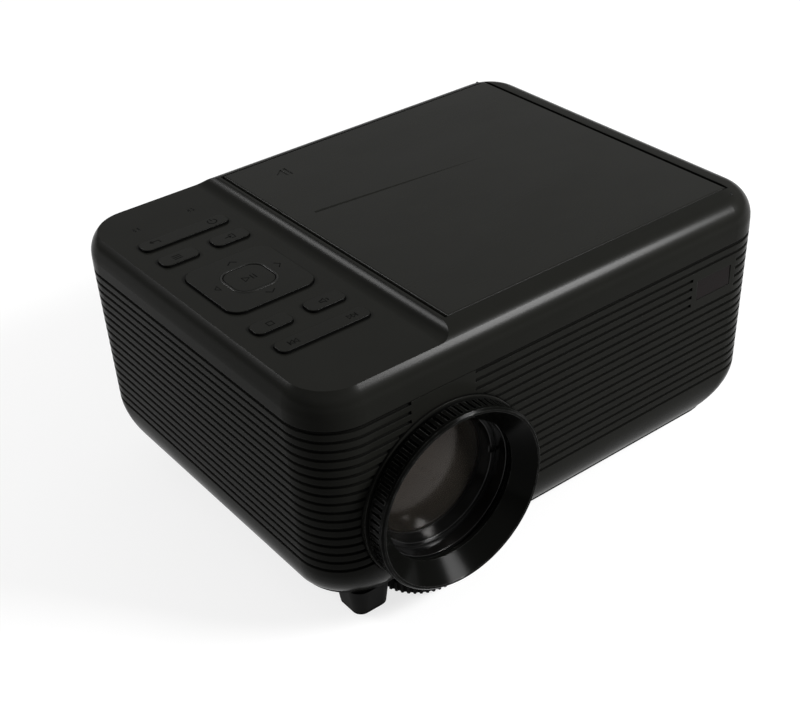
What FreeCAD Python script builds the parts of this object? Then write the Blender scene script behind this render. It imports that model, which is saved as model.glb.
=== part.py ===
import FreeCAD, Part
import math
import os
import Sketcher

# Projector with a disc player under its lid.  Millimetres, Z up, feet on Z = 0, lens towards -Y,
# key panel at the -X end.  Every size is a cell of the sheet; pieces are bound to it by expressions.
# Pieces are drawn with the casing centred on X = Y = 0 and then moved together by half the reach of
# the focus ring, so that the footprint of the whole part is centred on the origin.

driving_sizes = {
    # casing
    "length": 230, "depth": 174, "height": 116, "wall": 2.5, "draft": 1.24,
    "corner_radius": 20.7, "shoulder_radius": 13.4, "split_drop": 18.5, "foot_height": 12,
    "base_wall": 1.8, "base_step": 0.9, "flange_width": 12, "cover_drop": 6.5, "inner_shoulder": 8,
    "chin_rise": 18.7, "chin_reach": 6.7, "chin_corner": 22.5,
    # grooves around the casing
    "rib_drop": 19.3, "rib_pitch": 3.95, "rib_width": 1.9, "rib_floor": 1.1, "rib_depth": 0.8,
    "blank_relief": 0.5, "lens_blank_width": 29.4, "lens_blank_drop": 29,
    # key panel
    "panel_drop": 4, "panel_edge": 64.6, "scoop_radius": 8, "key_row_x": 31.4, "key_offset": 11.8,
    "wide_key_length": 39.3, "wide_key_depth": 7.4, "wide_key_row": 48.2, "small_key_length": 16,
    "small_key_depth": 7.8, "small_key_row": 32.6, "key_corner": 2.4, "pad_side": 38.6,
    "pad_corner": 6, "centre_side": 17.4, "centre_corner": 5.4, "key_rise": 1, "key_gap": 0.25,
    "key_travel": 0.6, "key_flange": 0.9, "flange_wall": 0.8, "flange_gap": 0.2, "key_edge": 0.3,
    "stem_drop": 2.2, "stem_radius": 1.2, "dome_gap": 0.1, "dome_rise": 0.9, "dome_radius": 2.4,
    "sheet_wall": 0.6, "sheet_half": 56, "key_board_half": 25, "key_board_front": 64,
    "key_board_rear": 69, "key_boss_x": 21.5, "key_boss_y": 60, "light_block": 6,
    "light_row": 64.7, "light_offset": 12.8, "slit_length": 2.6, "slit_width": 0.7, "slit_pitch": 1.8,
    # disc lid and its hinge
    "lid_lip": 1.2, "lid_gap": 1.6, "lid_wall": 2.6, "lid_depth": 150, "lid_side_gap": 0.3,
    "lid_under_gap": 0.4, "ledge": 4, "nose_radius": 1.8, "hinge_inset": 17.1, "hinge_gap": 0.3,
    "pin_radius": 0.8, "pin_length": 8, "pin_fit": 0.05, "lid_edge": 0.7,
    "hook_length": 12, "hook_width": 3, "hook_reach": 9, "hook_row": 58, "hook_gap": 0.8,
    "latch_wall": 1.5, "latch_space": 6, "latch_travel": 2, "crease_start": 10, "crease_row": 21.6,
    "crease_rise": 0.55, "crease_radius": 0.95, "crease_length": 88, "crease_turn": 5.5,
    "mark_inset": 17, "mark_row": 60, "mark_length": 4.2, "mark_half": 3.4, "mark_bar": 1.1,
    "mark_depth": 0.25,
    # disc deck and drive
    "deck_wall": 2, "disc_centre_x": 24.5, "well_radius": 61.5, "well_depth": 5.9,
    "well_floor": 1.8, "slot_width": 20, "slot_length": 45.5, "hub_radius": 7.4, "hub_flange": 14,
    "spindle_radius": 1.2, "spindle_fit": 0.04, "motor_radius": 13, "motor_height": 8,
    "motor_gap": 1, "chassis_wall": 1.2, "chassis_half": 43, "chassis_left": 20, "chassis_right": 78,
    "rod_radius": 1.5, "rod_fit": 0.04, "rod_row": 22, "rod_rise": 4.6, "sled_start": 10,
    "sled_length": 24, "sled_half": 26, "sled_low": 1.2, "sled_high": 7.4, "sled_travel": 30,
    "eye_x": 24, "eye_radius": 3, "eye_block": 8, "eye_gap": 1.7, "post_side": 6, "post_left": 2,
    "post_right": 68, "screw_radius": 1.6, "screw_row": 30, "nut_gap": 0.3, "nut_width": 5,
    "feed_radius": 4.2, "feed_length": 12, "damper_radius": 4, "damper_height": 5, "damper_inset": 5,
    "disc_rise": 2, "ball_radius": 1, "finger_radius": 11, "deck_gap": 0.3, "neck_radius": 3.6,
    "hub_rise": 2.8, "hub_tip": 4, "motor_clear": 1, "collar_rise": 1.8, "axle_hole": 6.5,
    # projection lens
    "lens_x": -60, "ring_low": 13.5, "ring_radius": 38, "ring_reach": 10.4, "tooth_depth": 0.8,
    "tooth_width": 1.7, "tooth_band": 5.6, "front_band": 2.1, "hood_mouth": 36.3, "hood_throat": 29.5,
    "hood_depth": 7.5, "lip_round": 0.8, "bezel_wall": 1.8, "bezel_reach": 0.5, "bezel_gap": 0.15,
    "bezel_length": 8, "sleeve_wall": 2.4, "sleeve_length": 12, "sleeve_gap": 0.4, "ring_gap": 0.8,
    "turn_fit": 0.05,
    "tube_wall": 2.7, "tube_length": 36, "tube_gap": 0.3, "mount_wall": 3, "mount_width": 88,
    "mount_height": 70, "cell_setback": 1.5, "cell_length": 32, "cell_front": 1.4,
    "glass_radius": 25.7, "glass_fit": 0.2, "glass_edge": 3, "glass_bulge": 4.2,
    "retainer_set": 6.1, "retainer_length": 5.4, "retainer_mouth": 27.4, "retainer_fit": 0.1,
    "spanner_width": 3, "spanner_depth": 1, "rear_glass_radius": 24, "rear_glass_edge": 2.5,
    "rear_glass_cap": 21, "rear_glass_bulge": 2, "rear_seat": 6, "seat_bore": 27, "seat_length": 3,
    "waist_bore": 22,
    # light engine
    "engine_length": 92, "engine_wall": 2, "engine_gap": 0.3, "frame_wall": 6, "lcd_width": 70,
    "lcd_height": 44, "lcd_wall": 2, "frame_lip": 2, "plate_wall": 1.5, "lcd_place": 40,
    "filter_place": 56, "condenser_place": 70, "condenser_radius": 22, "condenser_bulge": 6,
    "holder_wall": 4, "filter_height": 62, "window_margin": 2, "led_hole": 46, "led_side": 14,
    "led_wall": 2, "led_board_side": 44, "led_board_wall": 1.6,
    "sink_width": 66, "sink_height": 64, "sink_base": 4, "sink_depth": 20, "fin_wall": 1.2,
    "fin_pitch": 4,
    # fan
    "fan_side": 60, "fan_depth": 15, "fan_bore": 28, "blade_radius": 27, "fan_hub": 11,
    "blade_wall": 1.2, "blade_depth": 8, "blade_turn": 35, "fan_web": 2, "fan_gap": 0.5,
    "fan_axle": 1.5,
    # electronics
    "board_wall": 1.6, "main_left": -2, "main_right_inset": 23, "main_front_inset": 27, "main_rear_inset": 7,
    "board_rise": 17, "stand_rear_inset": 27,
    "disc_board_length": 70, "disc_board_depth": 50, "disc_board_drop": 6,
    "stand_radius": 3, "stand_inset": 5, "leg_x": 31, "seam_height": 0.2, "seam_depth": 0.6,
    "speaker_radius": 20, "speaker_row": 42, "speaker_height": 56, "speaker_depth": 10,
    "magnet_radius": 11, "magnet_depth": 7, "cone_gap": 0.3, "receiver_side": 7,
    # ports in the rear wall
    "plate_left": 8, "plate_right": 92, "plate_low": 33.5, "plate_high": 50, "plate_gap": 0.2,
    "port_rise": 7, "port_space": 0.4, "jack_depth": 12, "power_x": 16, "power_radius": 3.6,
    "power_pin": 1,
    "switch_x": 31, "switch_width": 13, "switch_height": 9, "switch_travel": 3, "serial_x": 48,
    "serial_width": 13.4, "serial_height": 6, "video_x": 65, "video_width": 15, "video_height": 5.4,
    "audio_x": 79, "audio_pitch": 8, "audio_radius": 3, "audio_bore": 1.8, "port_skin": 0.6,
    # infra-red window in the front wall
    "window_x": 82.25, "window_drop": 33.1, "window_width": 19.5, "window_height": 9,
    "window_blank_width": 25.5, "window_blank_height": 16, "window_gap": 0.15,
    # feet and fasteners
    "pad_left": 36, "pad_width": 15, "pad_depth": 15, "pad_inset": 11, "pad_draft": 8, "pad_round": 4,
    "wheel_radius": 19.5, "wheel_inset": 20.5, "wheel_width": 4.6, "wheel_low": 1.8,
    "stud_radius": 4, "stud_fit": 0.08,
    "stud_length": 14.6, "wheel_hub": 7, "wheel_hub_rise": 5.3, "foot_pad": 9, "foot_pad_wall": 1.5,
    "bush_radius": 8, "bush_flange": 9.5, "bush_lip": 1.5, "bush_height": 2.4, "notch_depth": 0.8,
    "round_foot_top": 10, "round_foot_radius": 8.5, "round_foot_side_inset": 31,
    "round_foot_rear_inset": 29, "round_foot_front_inset": 36,
    "screw_hole": 1.6, "screw_head": 3, "screw_head_wall": 1.4, "screw_length": 9, "boss_radius": 4,
    "boss_height": 8, "screw_inset": 10.5, "thread_radius": 3.175, "head_gap": 0.2,
    "insert_radius": 5, "insert_height": 8.4, "insert_x": -9, "insert_flange": 6.5,
}
rib_count = 17
slits_per_row = 2
chin_shares = (0, 0.3, 0.55, 0.8, 1)
tooth_count = 80
grille_slots = 9
catch_count = 3
fin_count = 17
blade_count = 7
notch_count = 48
first_speaker_groove = 6
last_speaker_groove = 14


class Size:
    """A length that knows both its expression in the sheet and its value in millimetres."""

    def __init__(self, text, value):
        self.text = text
        self.value = value

    @staticmethod
    def of(other):
        return other if isinstance(other, Size) else Size(repr(other), other)

    def __add__(self, other):
        other = Size.of(other)
        return Size(f"({self.text} + {other.text})", self.value + other.value)

    def __sub__(self, other):
        other = Size.of(other)
        return Size(f"({self.text} - {other.text})", self.value - other.value)

    def __mul__(self, other):
        other = Size.of(other)
        return Size(f"({self.text} * {other.text})", self.value * other.value)

    def __truediv__(self, other):
        other = Size.of(other)
        return Size(f"({self.text} / {other.text})", self.value / other.value)

    def __neg__(self):
        return Size(f"(0 - {self.text})", -self.value)

    def __radd__(self, other):
        return Size.of(other) + self

    def __rsub__(self, other):
        return Size.of(other) - self

    def __rmul__(self, other):
        return Size.of(other) * self


class Sizes:
    """The driving sizes by name, each tied to its cell."""

    def __init__(self, values):
        for alias, value in values.items():
            setattr(self, alias, Size("Sizes." + alias, value))


def square_root(size):
    return Size(f"sqrt({size.text})", math.sqrt(size.value))


def tangent(size):
    return Size(f"tan({size.text})", math.tan(math.radians(size.value)))


os.makedirs("parts", exist_ok=True)
doc = FreeCAD.newDocument("DiscProjector")
sheet = doc.addObject("Spreadsheet::Sheet", "Sizes")
for row, (alias, value) in enumerate(driving_sizes.items(), start=1):
    sheet.set(f"A{row}", alias)
    sheet.set(f"B{row}", str(value))
    sheet.setAlias(f"B{row}", alias)
doc.recompute()
size = Sizes(driving_sizes)
nodes = []


# ---- tools of construction -------------------------------------------------------------------

def bind(target, path, length):
    target.setExpression(path, Size.of(length).text)


def place(target, x, y, z):
    for axis, length in zip("xyz", (x, y, z)):
        bind(target, "Placement.Base." + axis, length)


def node(name, solid):
    """Take a finished piece into the part, moved so that the whole footprint is centred on the origin."""
    piece = solid if solid.TypeId == "Part::Compound" else group(solid)
    piece.Label = name
    bind(piece, "Placement.Base.y", size.ring_reach / 2)
    nodes.append(piece)


def box(x, y, z, wide, deep, high):
    """A block from its lowest corner."""
    solid = doc.addObject("Part::Box", "Block")
    bind(solid, "Length", wide)
    bind(solid, "Width", deep)
    bind(solid, "Height", high)
    place(solid, x, y, z)
    return solid


turns = {
    "x": FreeCAD.Rotation(FreeCAD.Vector(0, 1, 0), 90),
    "y": FreeCAD.Rotation(FreeCAD.Vector(1, 0, 0), -90),
    "z": FreeCAD.Rotation(),
}


def rod(x, y, z, radius, length, along="z"):
    """A cylinder from the middle of its first end, towards +X, +Y or +Z."""
    solid = doc.addObject("Part::Cylinder", "Rod")
    solid.Placement.Rotation = turns[along]
    bind(solid, "Radius", radius)
    bind(solid, "Height", length)
    place(solid, x, y, z)
    return solid


def taper(x, y, z, radius, end_radius, length, along="z"):
    """A cone from the middle of its first end, towards +X, +Y or +Z."""
    solid = doc.addObject("Part::Cone", "Taper")
    solid.Placement.Rotation = turns[along]
    bind(solid, "Radius1", radius)
    bind(solid, "Radius2", end_radius)
    bind(solid, "Height", length)
    place(solid, x, y, z)
    return solid


def fuse(*solids):
    joined = doc.addObject("Part::MultiFuse", "Joined")
    joined.Shapes = list(solids)
    joined.Refine = True
    return joined


def group(*solids):
    """Separate solids that share one node."""
    together = doc.addObject("Part::Compound", "Group")
    together.Links = list(solids)
    return together


def cut(base, *tools):
    rest = doc.addObject("Part::Cut", "Cut")
    rest.Base = base
    rest.Tool = tools[0] if len(tools) == 1 else group(*tools)
    rest.Refine = True
    return rest


def common(first, second):
    shared = doc.addObject("Part::Common", "Shared")
    shared.Base = first
    shared.Tool = second
    return shared


def tube(x, y, z, radius, bore, length, along="z"):
    return cut(rod(x, y, z, radius, length, along), rod(x, y, z, bore, length, along))


def cap(x, y, z, radius, rise, ball_start):
    """A spherical cap along Y, cut from a ball whose near end lies at ball_start."""
    curve = (radius * radius + rise * rise) / (2 * rise)
    ball = doc.addObject("Part::Sphere", "Ball")
    bind(ball, "Radius", curve)
    ball.Placement.Rotation = turns["y"]
    middle = y + curve if ball_start else y + rise - curve
    place(ball, x, middle, z)
    return common(rod(x, y, z, radius * 2, rise, "y"), ball)


def lens_shape(x, y, z, rim, edge, radius, bulge, rear_bulge):
    """A glass element along Y: a flat rim with a spherical cap on each side."""
    front = cap(x, y - bulge, z, radius, bulge, True)
    back = cap(x, y + edge, z, radius, rear_bulge, False)
    return fuse(rod(x, y, z, rim, edge, "y"), front, back)


def body_named(name):
    return doc.addObject("PartDesign::Body", name + "Body")


def sketch_on(body, role, shift=0):
    """A sketch on one of the body's own origin planes, moved along the plane's normal."""
    plane = next(item for item in body.Origin.OriginFeatures if item.Role == role)
    sketch = body.newObject("Sketcher::SketchObject", "Outline")
    sketch.AttachmentSupport = [(plane, "")]
    sketch.MapMode = "FlatFace"
    bind(sketch, "AttachmentOffset.Base.z", shift)
    return sketch


def constrain(sketch, size_value, *terms):
    """One driving constraint, bound to the sheet."""
    index = sketch.addConstraint(Sketcher.Constraint(*terms, Size.of(size_value).value))
    sketch.setExpression(f"Constraints[{index}]", Size.of(size_value).text)


def polygon(sketch, corners):
    """A closed outline through corners, each held from the origin."""
    points = [FreeCAD.Vector(Size.of(x).value, Size.of(y).value, 0) for x, y in corners]
    count = len(points)
    lines = [Part.LineSegment(points[i], points[(i + 1) % count]) for i in range(count)]
    first = sketch.GeometryCount
    sketch.addGeometry(lines, False)
    for i in range(count):
        sketch.addConstraint(Sketcher.Constraint("Coincident", first + i, 2, first + (i + 1) % count, 1))
    for i, (x, y) in enumerate(corners):
        constrain(sketch, x, "DistanceX", -1, 1, first + i, 1)
        constrain(sketch, y, "DistanceY", -1, 1, first + i, 1)


def round_rectangle(sketch, left, right, low, high, radius):
    """A rectangle with round corners, starting at the front edge's left end."""
    west, east, south, north, bend = (Size.of(v).value for v in (left, right, low, high, radius))
    quarter = math.pi / 2
    vector = FreeCAD.Vector
    spots = [(east - bend, south + bend), (east - bend, north - bend),
             (west + bend, north - bend), (west + bend, south + bend)]
    sides = [
        Part.LineSegment(vector(west + bend, south, 0), vector(east - bend, south, 0)),
        Part.LineSegment(vector(east, south + bend, 0), vector(east, north - bend, 0)),
        Part.LineSegment(vector(east - bend, north, 0), vector(west + bend, north, 0)),
        Part.LineSegment(vector(west, north - bend, 0), vector(west, south + bend, 0)),
    ]
    outline = []
    for turn, (side, (x, y)) in enumerate(zip(sides, spots)):
        circle = Part.Circle(vector(x, y, 0), vector(0, 0, 1), bend)
        outline += [side, Part.ArcOfCircle(circle, (turn - 1) * quarter, turn * quarter)]
    first = sketch.GeometryCount
    sketch.addGeometry(outline, False)
    for i in range(8):
        sketch.addConstraint(Sketcher.Constraint("Tangent", first + i, 2, first + (i + 1) % 8, 1))
    for i, kind in ((0, "Horizontal"), (2, "Vertical"), (4, "Horizontal"), (6, "Vertical")):
        sketch.addConstraint(Sketcher.Constraint(kind, first + i))
    for i in (3, 5, 7):
        sketch.addConstraint(Sketcher.Constraint("Equal", first + 1, first + i))
    constrain(sketch, radius, "Radius", first + 1)
    constrain(sketch, low, "DistanceY", -1, 1, first, 1)
    constrain(sketch, right, "DistanceX", -1, 1, first + 2, 1)
    constrain(sketch, high, "DistanceY", -1, 1, first + 4, 1)
    constrain(sketch, left, "DistanceX", -1, 1, first + 6, 1)


def pad(body, sketch, length, downwards=False, draft=None):
    feature = body.newObject("PartDesign::Pad", "Pad")
    feature.Profile = sketch
    feature.Reversed = downwards
    bind(feature, "Length", length)
    if draft is not None:
        bind(feature, "TaperAngle", draft)
    return feature


def revolve(body, sketch, axis="V_Axis"):
    feature = body.newObject("PartDesign::Revolution", "Turned")
    feature.Profile = sketch
    feature.ReferenceAxis = (sketch, [axis])
    return feature


def edges_at(feature, height):
    """Names of the edges that lie flat at one height."""
    doc.recompute()
    level = Size.of(height).value
    names = []
    for index, edge in enumerate(feature.Shape.Edges, start=1):
        extent = edge.BoundBox
        if abs(extent.ZMin - level) < 0.001 and abs(extent.ZMax - level) < 0.001:
            names.append(f"Edge{index}")
    return names


def fillet(body, base, names, radius):
    feature = body.newObject("PartDesign::Fillet", "Rounded")
    feature.Base = (base, names)
    bind(feature, "Radius", radius)
    return feature


def turned_piece(name, corners, x, y, z, along="z"):
    """A body turned about its own axis; corners are (radius, place along the axis)."""
    body = body_named(name)
    sketch = sketch_on(body, "XZ_Plane")
    polygon(sketch, corners)
    revolve(body, sketch)
    body.Placement.Rotation = turns[along]
    place(body, x, y, z)
    return body


def rounded_plate(name, left, right, low, high, corner, bottom, thickness, edge=None):
    """A flat plate with round corners and, if edge is given, a rounded top rim."""
    body = body_named(name)
    sketch = sketch_on(body, "XY_Plane", bottom)
    round_rectangle(sketch, left, right, low, high, corner)
    plate = pad(body, sketch, thickness)
    if edge is not None:
        fillet(body, plate, edges_at(plate, Size.of(bottom) + thickness), edge)
    return body


# ---- places shared by several pieces ---------------------------------------------------------

half_length = size.length / 2
half_depth = size.depth / 2
split = size.height - size.split_drop
belly = size.foot_height + size.base_wall
slope = tangent(size.draft)
chin_top = belly + size.chin_rise
chin_bend = (size.chin_rise * size.chin_rise + size.chin_reach * size.chin_reach) / (size.chin_reach * 2)
chin_inset = slope * (split - chin_top) + size.chin_reach
deck_inset = size.wall + size.inner_shoulder + size.deck_gap
cover_floor = size.height - size.cover_drop
panel_top = size.height - size.panel_drop
lid_left = size.panel_edge + size.lid_lip + size.lid_gap - half_length
hinge_x = half_length - size.hinge_inset
hinge_z = size.height - size.nose_radius
lid_half = size.lid_depth / 2
seat_half = lid_half + size.lid_side_gap
seat_top = size.height - size.lid_wall - size.lid_under_gap
seat_right = hinge_x + size.nose_radius + size.hinge_gap
key_x = size.key_row_x - half_length
lens_z = size.ring_low + size.ring_radius
ring_front = -half_depth - size.ring_reach
window_z = size.height - size.window_drop
board_z = belly + size.board_rise
main_right = half_length - size.main_right_inset
main_front = size.main_front_inset - half_depth
main_rear = half_depth - size.main_rear_inset
wheel_y = size.wheel_inset - half_depth
board_top = board_z + size.board_wall

# Stack under the key panel.
flange_top = cover_floor - size.flange_gap
stem_low = flange_top - size.flange_wall - size.stem_drop
dome_top = stem_low - size.key_travel - size.dome_gap
sheet_top = dome_top - size.dome_rise
key_board_top = sheet_top - size.sheet_wall

# Lens tubes, each radius worked out from the one outside it.
bezel_radius = size.ring_radius + size.bezel_gap * 2
bezel_bore = bezel_radius - size.bezel_wall
sleeve_radius = bezel_bore - size.sleeve_gap
sleeve_bore = sleeve_radius - size.sleeve_wall
tube_radius = sleeve_bore - size.turn_fit
tube_bore = tube_radius - size.tube_wall
cell_radius = tube_bore - size.turn_fit
cell_bore = cell_radius - size.cell_front
ring_back = -half_depth - size.bezel_reach - size.ring_gap
tube_front = ring_back + size.tube_gap
cell_front = tube_front + size.cell_setback
retainer_front = cell_front + size.retainer_set
glass_front = retainer_front + size.retainer_length
engine_front = tube_front + size.tube_length
engine_back = engine_front + size.engine_length
engine_low = lens_z - size.mount_height / 2
engine_left = size.lens_x - size.mount_width / 2
fan_drop = chin_top - lens_z + size.fan_side / 2
fan_back = (half_depth - size.wall - size.key_gap - slope * (split - chin_top) - chin_bend
            + square_root(chin_bend * chin_bend - fan_drop * fan_drop))

# Disc drive, from the disc downwards.
well_top = cover_floor - size.well_depth
well_bottom = well_top - size.well_floor
disc_z = well_top + size.disc_rise
motor_top = well_bottom - size.motor_gap
chassis_top = motor_top - size.motor_height
disc_x = size.disc_centre_x
rod_z = chassis_top + size.rod_rise
port_z = board_top + size.port_rise
plate_face = half_depth - slope * (split - size.plate_low)


def wall_inset(level):
    """How far the drafted wall has come in at a level below the split."""
    return slope * (split - level)


# ---- casing ----------------------------------------------------------------------------------

def drafted_block(name, inset, high):
    """The walls' outline, moved in by inset, from high down to the top of the chin."""
    body = body_named(name)
    sketch = sketch_on(body, "XY_Plane", high)
    round_rectangle(sketch, inset - half_length, half_length - inset, inset - half_depth,
                    half_depth - inset, size.corner_radius - inset)
    pad(body, sketch, high - chin_top, downwards=True, draft=-size.draft)
    return body


def chin_block(inset, low):
    """The chin under the grooves: the outline curves inwards as it goes down, and its corners widen."""
    upper_corner = size.corner_radius - wall_inset(chin_top)
    sections = []
    for share in chin_shares:
        drop = (chin_top - low) * share
        reach = wall_inset(chin_top) + chin_bend - square_root(chin_bend * chin_bend - drop * drop) + inset
        widening = (size.chin_corner - upper_corner) * drop / size.chin_rise
        outline = doc.addObject("Sketcher::SketchObject", "ChinOutline")
        round_rectangle(outline, reach - half_length, half_length - reach, reach - half_depth,
                        half_depth - reach, upper_corner + widening - inset)
        place(outline, 0, 0, chin_top - drop)
        sections.append(outline)
    chin = doc.addObject("Part::Loft", "Chin")
    chin.Sections = sections
    chin.Solid = True
    return chin


def cover_block(name, inset, low, high, edge_radius):
    """The cover's outline, moved in by inset, with its top edge rounded."""
    body = body_named(name)
    sketch = sketch_on(body, "XY_Plane", low)
    round_rectangle(sketch, inset - half_length, half_length - inset, inset - half_depth,
                    half_depth - inset, size.corner_radius - inset)
    block = pad(body, sketch, high - low)
    fillet(body, block, edges_at(block, high), edge_radius)
    return body


def groove(number):
    """One groove swept around the casing."""
    level = size.height - size.rib_drop - number * size.rib_pitch
    inset = wall_inset(level)
    left = inset - half_length
    front = inset - half_depth
    bend = size.corner_radius - inset
    path = doc.addObject("Sketcher::SketchObject", "GroovePath")
    round_rectangle(path, left, -left, front, -front, bend)
    place(path, 0, 0, level)
    profile = doc.addObject("Sketcher::SketchObject", "GrooveProfile")
    mouth = size.rib_width / 2
    bottom = size.rib_floor / 2
    polygon(profile, [(-size.blank_relief, -mouth), (size.rib_depth, -bottom),
                      (size.rib_depth, bottom), (-size.blank_relief, mouth)])
    profile.Placement.Rotation = FreeCAD.Rotation(
        FreeCAD.Vector(0, 1, 0), FreeCAD.Vector(0, 0, 1), FreeCAD.Vector(1, 0, 0), "ZXY")
    place(profile, left + bend, front, level)
    swept = doc.addObject("Part::Sweep", "Groove")
    swept.Sections = [profile]
    swept.Spine = (path, [])
    swept.Solid = True
    return swept


def grooves():
    """All grooves, kept out of the blank places over the lens, at the window and at the ports."""
    over_lens = box(size.lens_x - size.lens_blank_width / 2, -half_depth - size.wall,
                    size.height - size.lens_blank_drop, size.lens_blank_width, size.wall * 2,
                    size.lens_blank_drop)
    at_window = box(size.window_x - size.window_blank_width / 2, -half_depth - size.wall,
                    window_z - size.window_blank_height / 2, size.window_blank_width,
                    size.wall * 2, size.window_blank_height)
    at_ports = box(size.plate_left - size.wall, half_depth - size.wall * 2, size.plate_low - size.wall,
                   size.plate_right - size.plate_left + size.wall * 2, size.wall * 3,
                   size.plate_high - size.plate_low + size.wall * 2)
    rings = group(*[groove(number) for number in range(rib_count)])
    return cut(rings, over_lens, at_window, at_ports)


def rear_grille():
    """Slots through the rear wall behind the fan."""
    slots = []
    for number in range(grille_slots):
        level = lens_z - size.fan_bore + number * size.fan_bore * 2 / (grille_slots - 1)
        slots.append(box(size.lens_x - size.fan_bore, half_depth - size.wall * 2,
                         level - size.rib_floor, size.fan_bore * 2, size.wall * 3, size.rib_floor * 2))
    return slots


def speaker_slots():
    """Slots through the right wall, one in each groove in front of the speakers."""
    slots = []
    for number in range(first_speaker_groove, last_speaker_groove + 1):
        level = size.height - size.rib_drop - number * size.rib_pitch
        for row in (-size.speaker_row, size.speaker_row):
            slots.append(box(half_length - size.wall * 2, row - size.magnet_radius,
                             level - size.rib_floor / 2, size.wall * 3, size.magnet_radius * 2,
                             size.rib_floor))
    return slots


def base_screw_places():
    inset = chin_inset + size.screw_inset
    return [(side * (half_length - inset), row * (half_depth - inset)) for side in (-1, 1) for row in (-1, 1)]


def make_housing():
    outside = fuse(drafted_block("HousingOutside", Size.of(0), split), chin_block(Size.of(0), belly))
    inside = [drafted_block("HousingInside", size.wall, split + size.wall),
              chin_block(size.wall, belly + size.wall)]
    opening_inset = chin_inset + size.flange_width
    opening = box(opening_inset - half_length, opening_inset - half_depth, belly - size.wall,
                  size.length - opening_inset * 2, size.depth - opening_inset * 2, size.wall * 3)
    lens_hole = rod(size.lens_x, -half_depth - size.wall, lens_z, size.ring_radius + size.bezel_gap * 3,
                    size.wall * 4, "y")
    sleeve_hole = rod(size.lens_x, -half_depth, lens_z, sleeve_radius + size.ring_gap,
                      size.sleeve_length + size.wall, "y")
    window_hole = box(size.window_x - size.window_width / 2 - size.window_gap, -half_depth - size.wall,
                      window_z - size.window_height / 2 - size.window_gap,
                      size.window_width + size.window_gap * 2, size.wall * 4,
                      size.window_height + size.window_gap * 2)
    port_hole = box(size.plate_left, half_depth - size.wall * 3, size.plate_low,
                    size.plate_right - size.plate_left, size.wall * 5, size.plate_high - size.plate_low)
    shell = cut(outside, *inside, opening, grooves(), lens_hole, sleeve_hole, window_hole, port_hole,
                *rear_grille(), *speaker_slots())
    bosses = [rod(x, y, belly + size.wall / 2, size.boss_radius, size.boss_height)
              for x, y in base_screw_places()]
    holes = [rod(x, y, belly - size.wall, size.screw_hole, size.screw_length + size.wall)
             for x, y in base_screw_places()]
    holes.append(rod(size.lens_x, wheel_y, 0, size.bush_flange + size.key_gap, belly + size.wall))
    return cut(fuse(shell, *bosses), *holes)


def key_places():
    """Name, middle and size of every key on the panel, from back to front."""
    wide = (size.wide_key_length, size.wide_key_depth)
    small = (size.small_key_length, size.small_key_depth)
    left = key_x - size.key_offset
    right = key_x + size.key_offset
    return [
        ("rear_wide_key", key_x, size.wide_key_row, *wide),
        ("rear_left_key", left, size.small_key_row, *small),
        ("rear_right_key", right, size.small_key_row, *small),
        ("front_left_key", left, -size.small_key_row, *small),
        ("front_right_key", right, -size.small_key_row, *small),
        ("front_wide_key", key_x, -size.wide_key_row, *wide),
    ]


def key_hole(x, y, wide, deep, corner):
    """The opening that a key slides in."""
    gap = size.key_gap
    return rounded_plate("KeyHole", x - wide / 2 - gap, x + wide / 2 + gap, y - deep / 2 - gap,
                         y + deep / 2 + gap, corner + gap, cover_floor - size.wall, size.wall * 3)


def light_slits(bottom, height, gap):
    """Two rows of thin slits behind the rear key."""
    slits = []
    for side in (-1, 1):
        for number in range(slits_per_row):
            middle = key_x + side * size.light_offset + (number - (slits_per_row - 1) / 2) * size.slit_pitch
            slits.append(box(middle - size.slit_width / 2 + gap,
                             size.light_row - size.slit_length / 2 + gap, bottom,
                             size.slit_width - gap * 2, size.slit_length - gap * 2, height))
    return slits


def panel_recess():
    """The lowered key panel, with a hollow sweep rising to the lid's level."""
    body = body_named("PanelRecess")
    sketch = sketch_on(body, "XZ_Plane", -size.depth)
    top = size.height
    edge = size.panel_edge - half_length
    bend = size.scoop_radius
    drop = size.panel_drop
    reach = square_root(2 * bend * drop - drop * drop)
    outside = -size.length
    above = top + size.panel_drop
    corners = [(outside, panel_top), (edge - reach, panel_top), (edge, top), (edge, above), (outside, above)]
    points = [FreeCAD.Vector(Size.of(x).value, Size.of(z).value, 0) for x, z in corners]
    low_end, high_end = points[1], points[2]
    centre = FreeCAD.Vector(low_end.x, low_end.y + bend.value, 0)
    start = -math.pi / 2
    finish = math.atan2(high_end.y - centre.y, high_end.x - centre.x)
    arc = Part.ArcOfCircle(Part.Circle(centre, FreeCAD.Vector(0, 0, 1), bend.value), start, finish)
    outline = [Part.LineSegment(points[0], points[1]), arc, Part.LineSegment(points[2], points[3]),
               Part.LineSegment(points[3], points[4]), Part.LineSegment(points[4], points[0])]
    sketch.addGeometry(outline, False)
    sketch.addConstraint(Sketcher.Constraint("Tangent", 0, 2, 1, 1))
    for i in (1, 2, 3, 4):
        sketch.addConstraint(Sketcher.Constraint("Coincident", i, 2, (i + 1) % 5, 1))
    for i, kind in ((0, "Horizontal"), (2, "Vertical"), (3, "Horizontal"), (4, "Vertical")):
        sketch.addConstraint(Sketcher.Constraint(kind, i))
    constrain(sketch, bend, "Radius", 1)
    constrain(sketch, outside, "DistanceX", -1, 1, 0, 1)
    constrain(sketch, panel_top, "DistanceY", -1, 1, 0, 1)
    constrain(sketch, edge, "DistanceX", -1, 1, 2, 1)
    constrain(sketch, top, "DistanceY", -1, 1, 2, 1)
    constrain(sketch, above, "DistanceY", -1, 1, 3, 2)
    pad(body, sketch, size.depth * 2)
    return body


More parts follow.
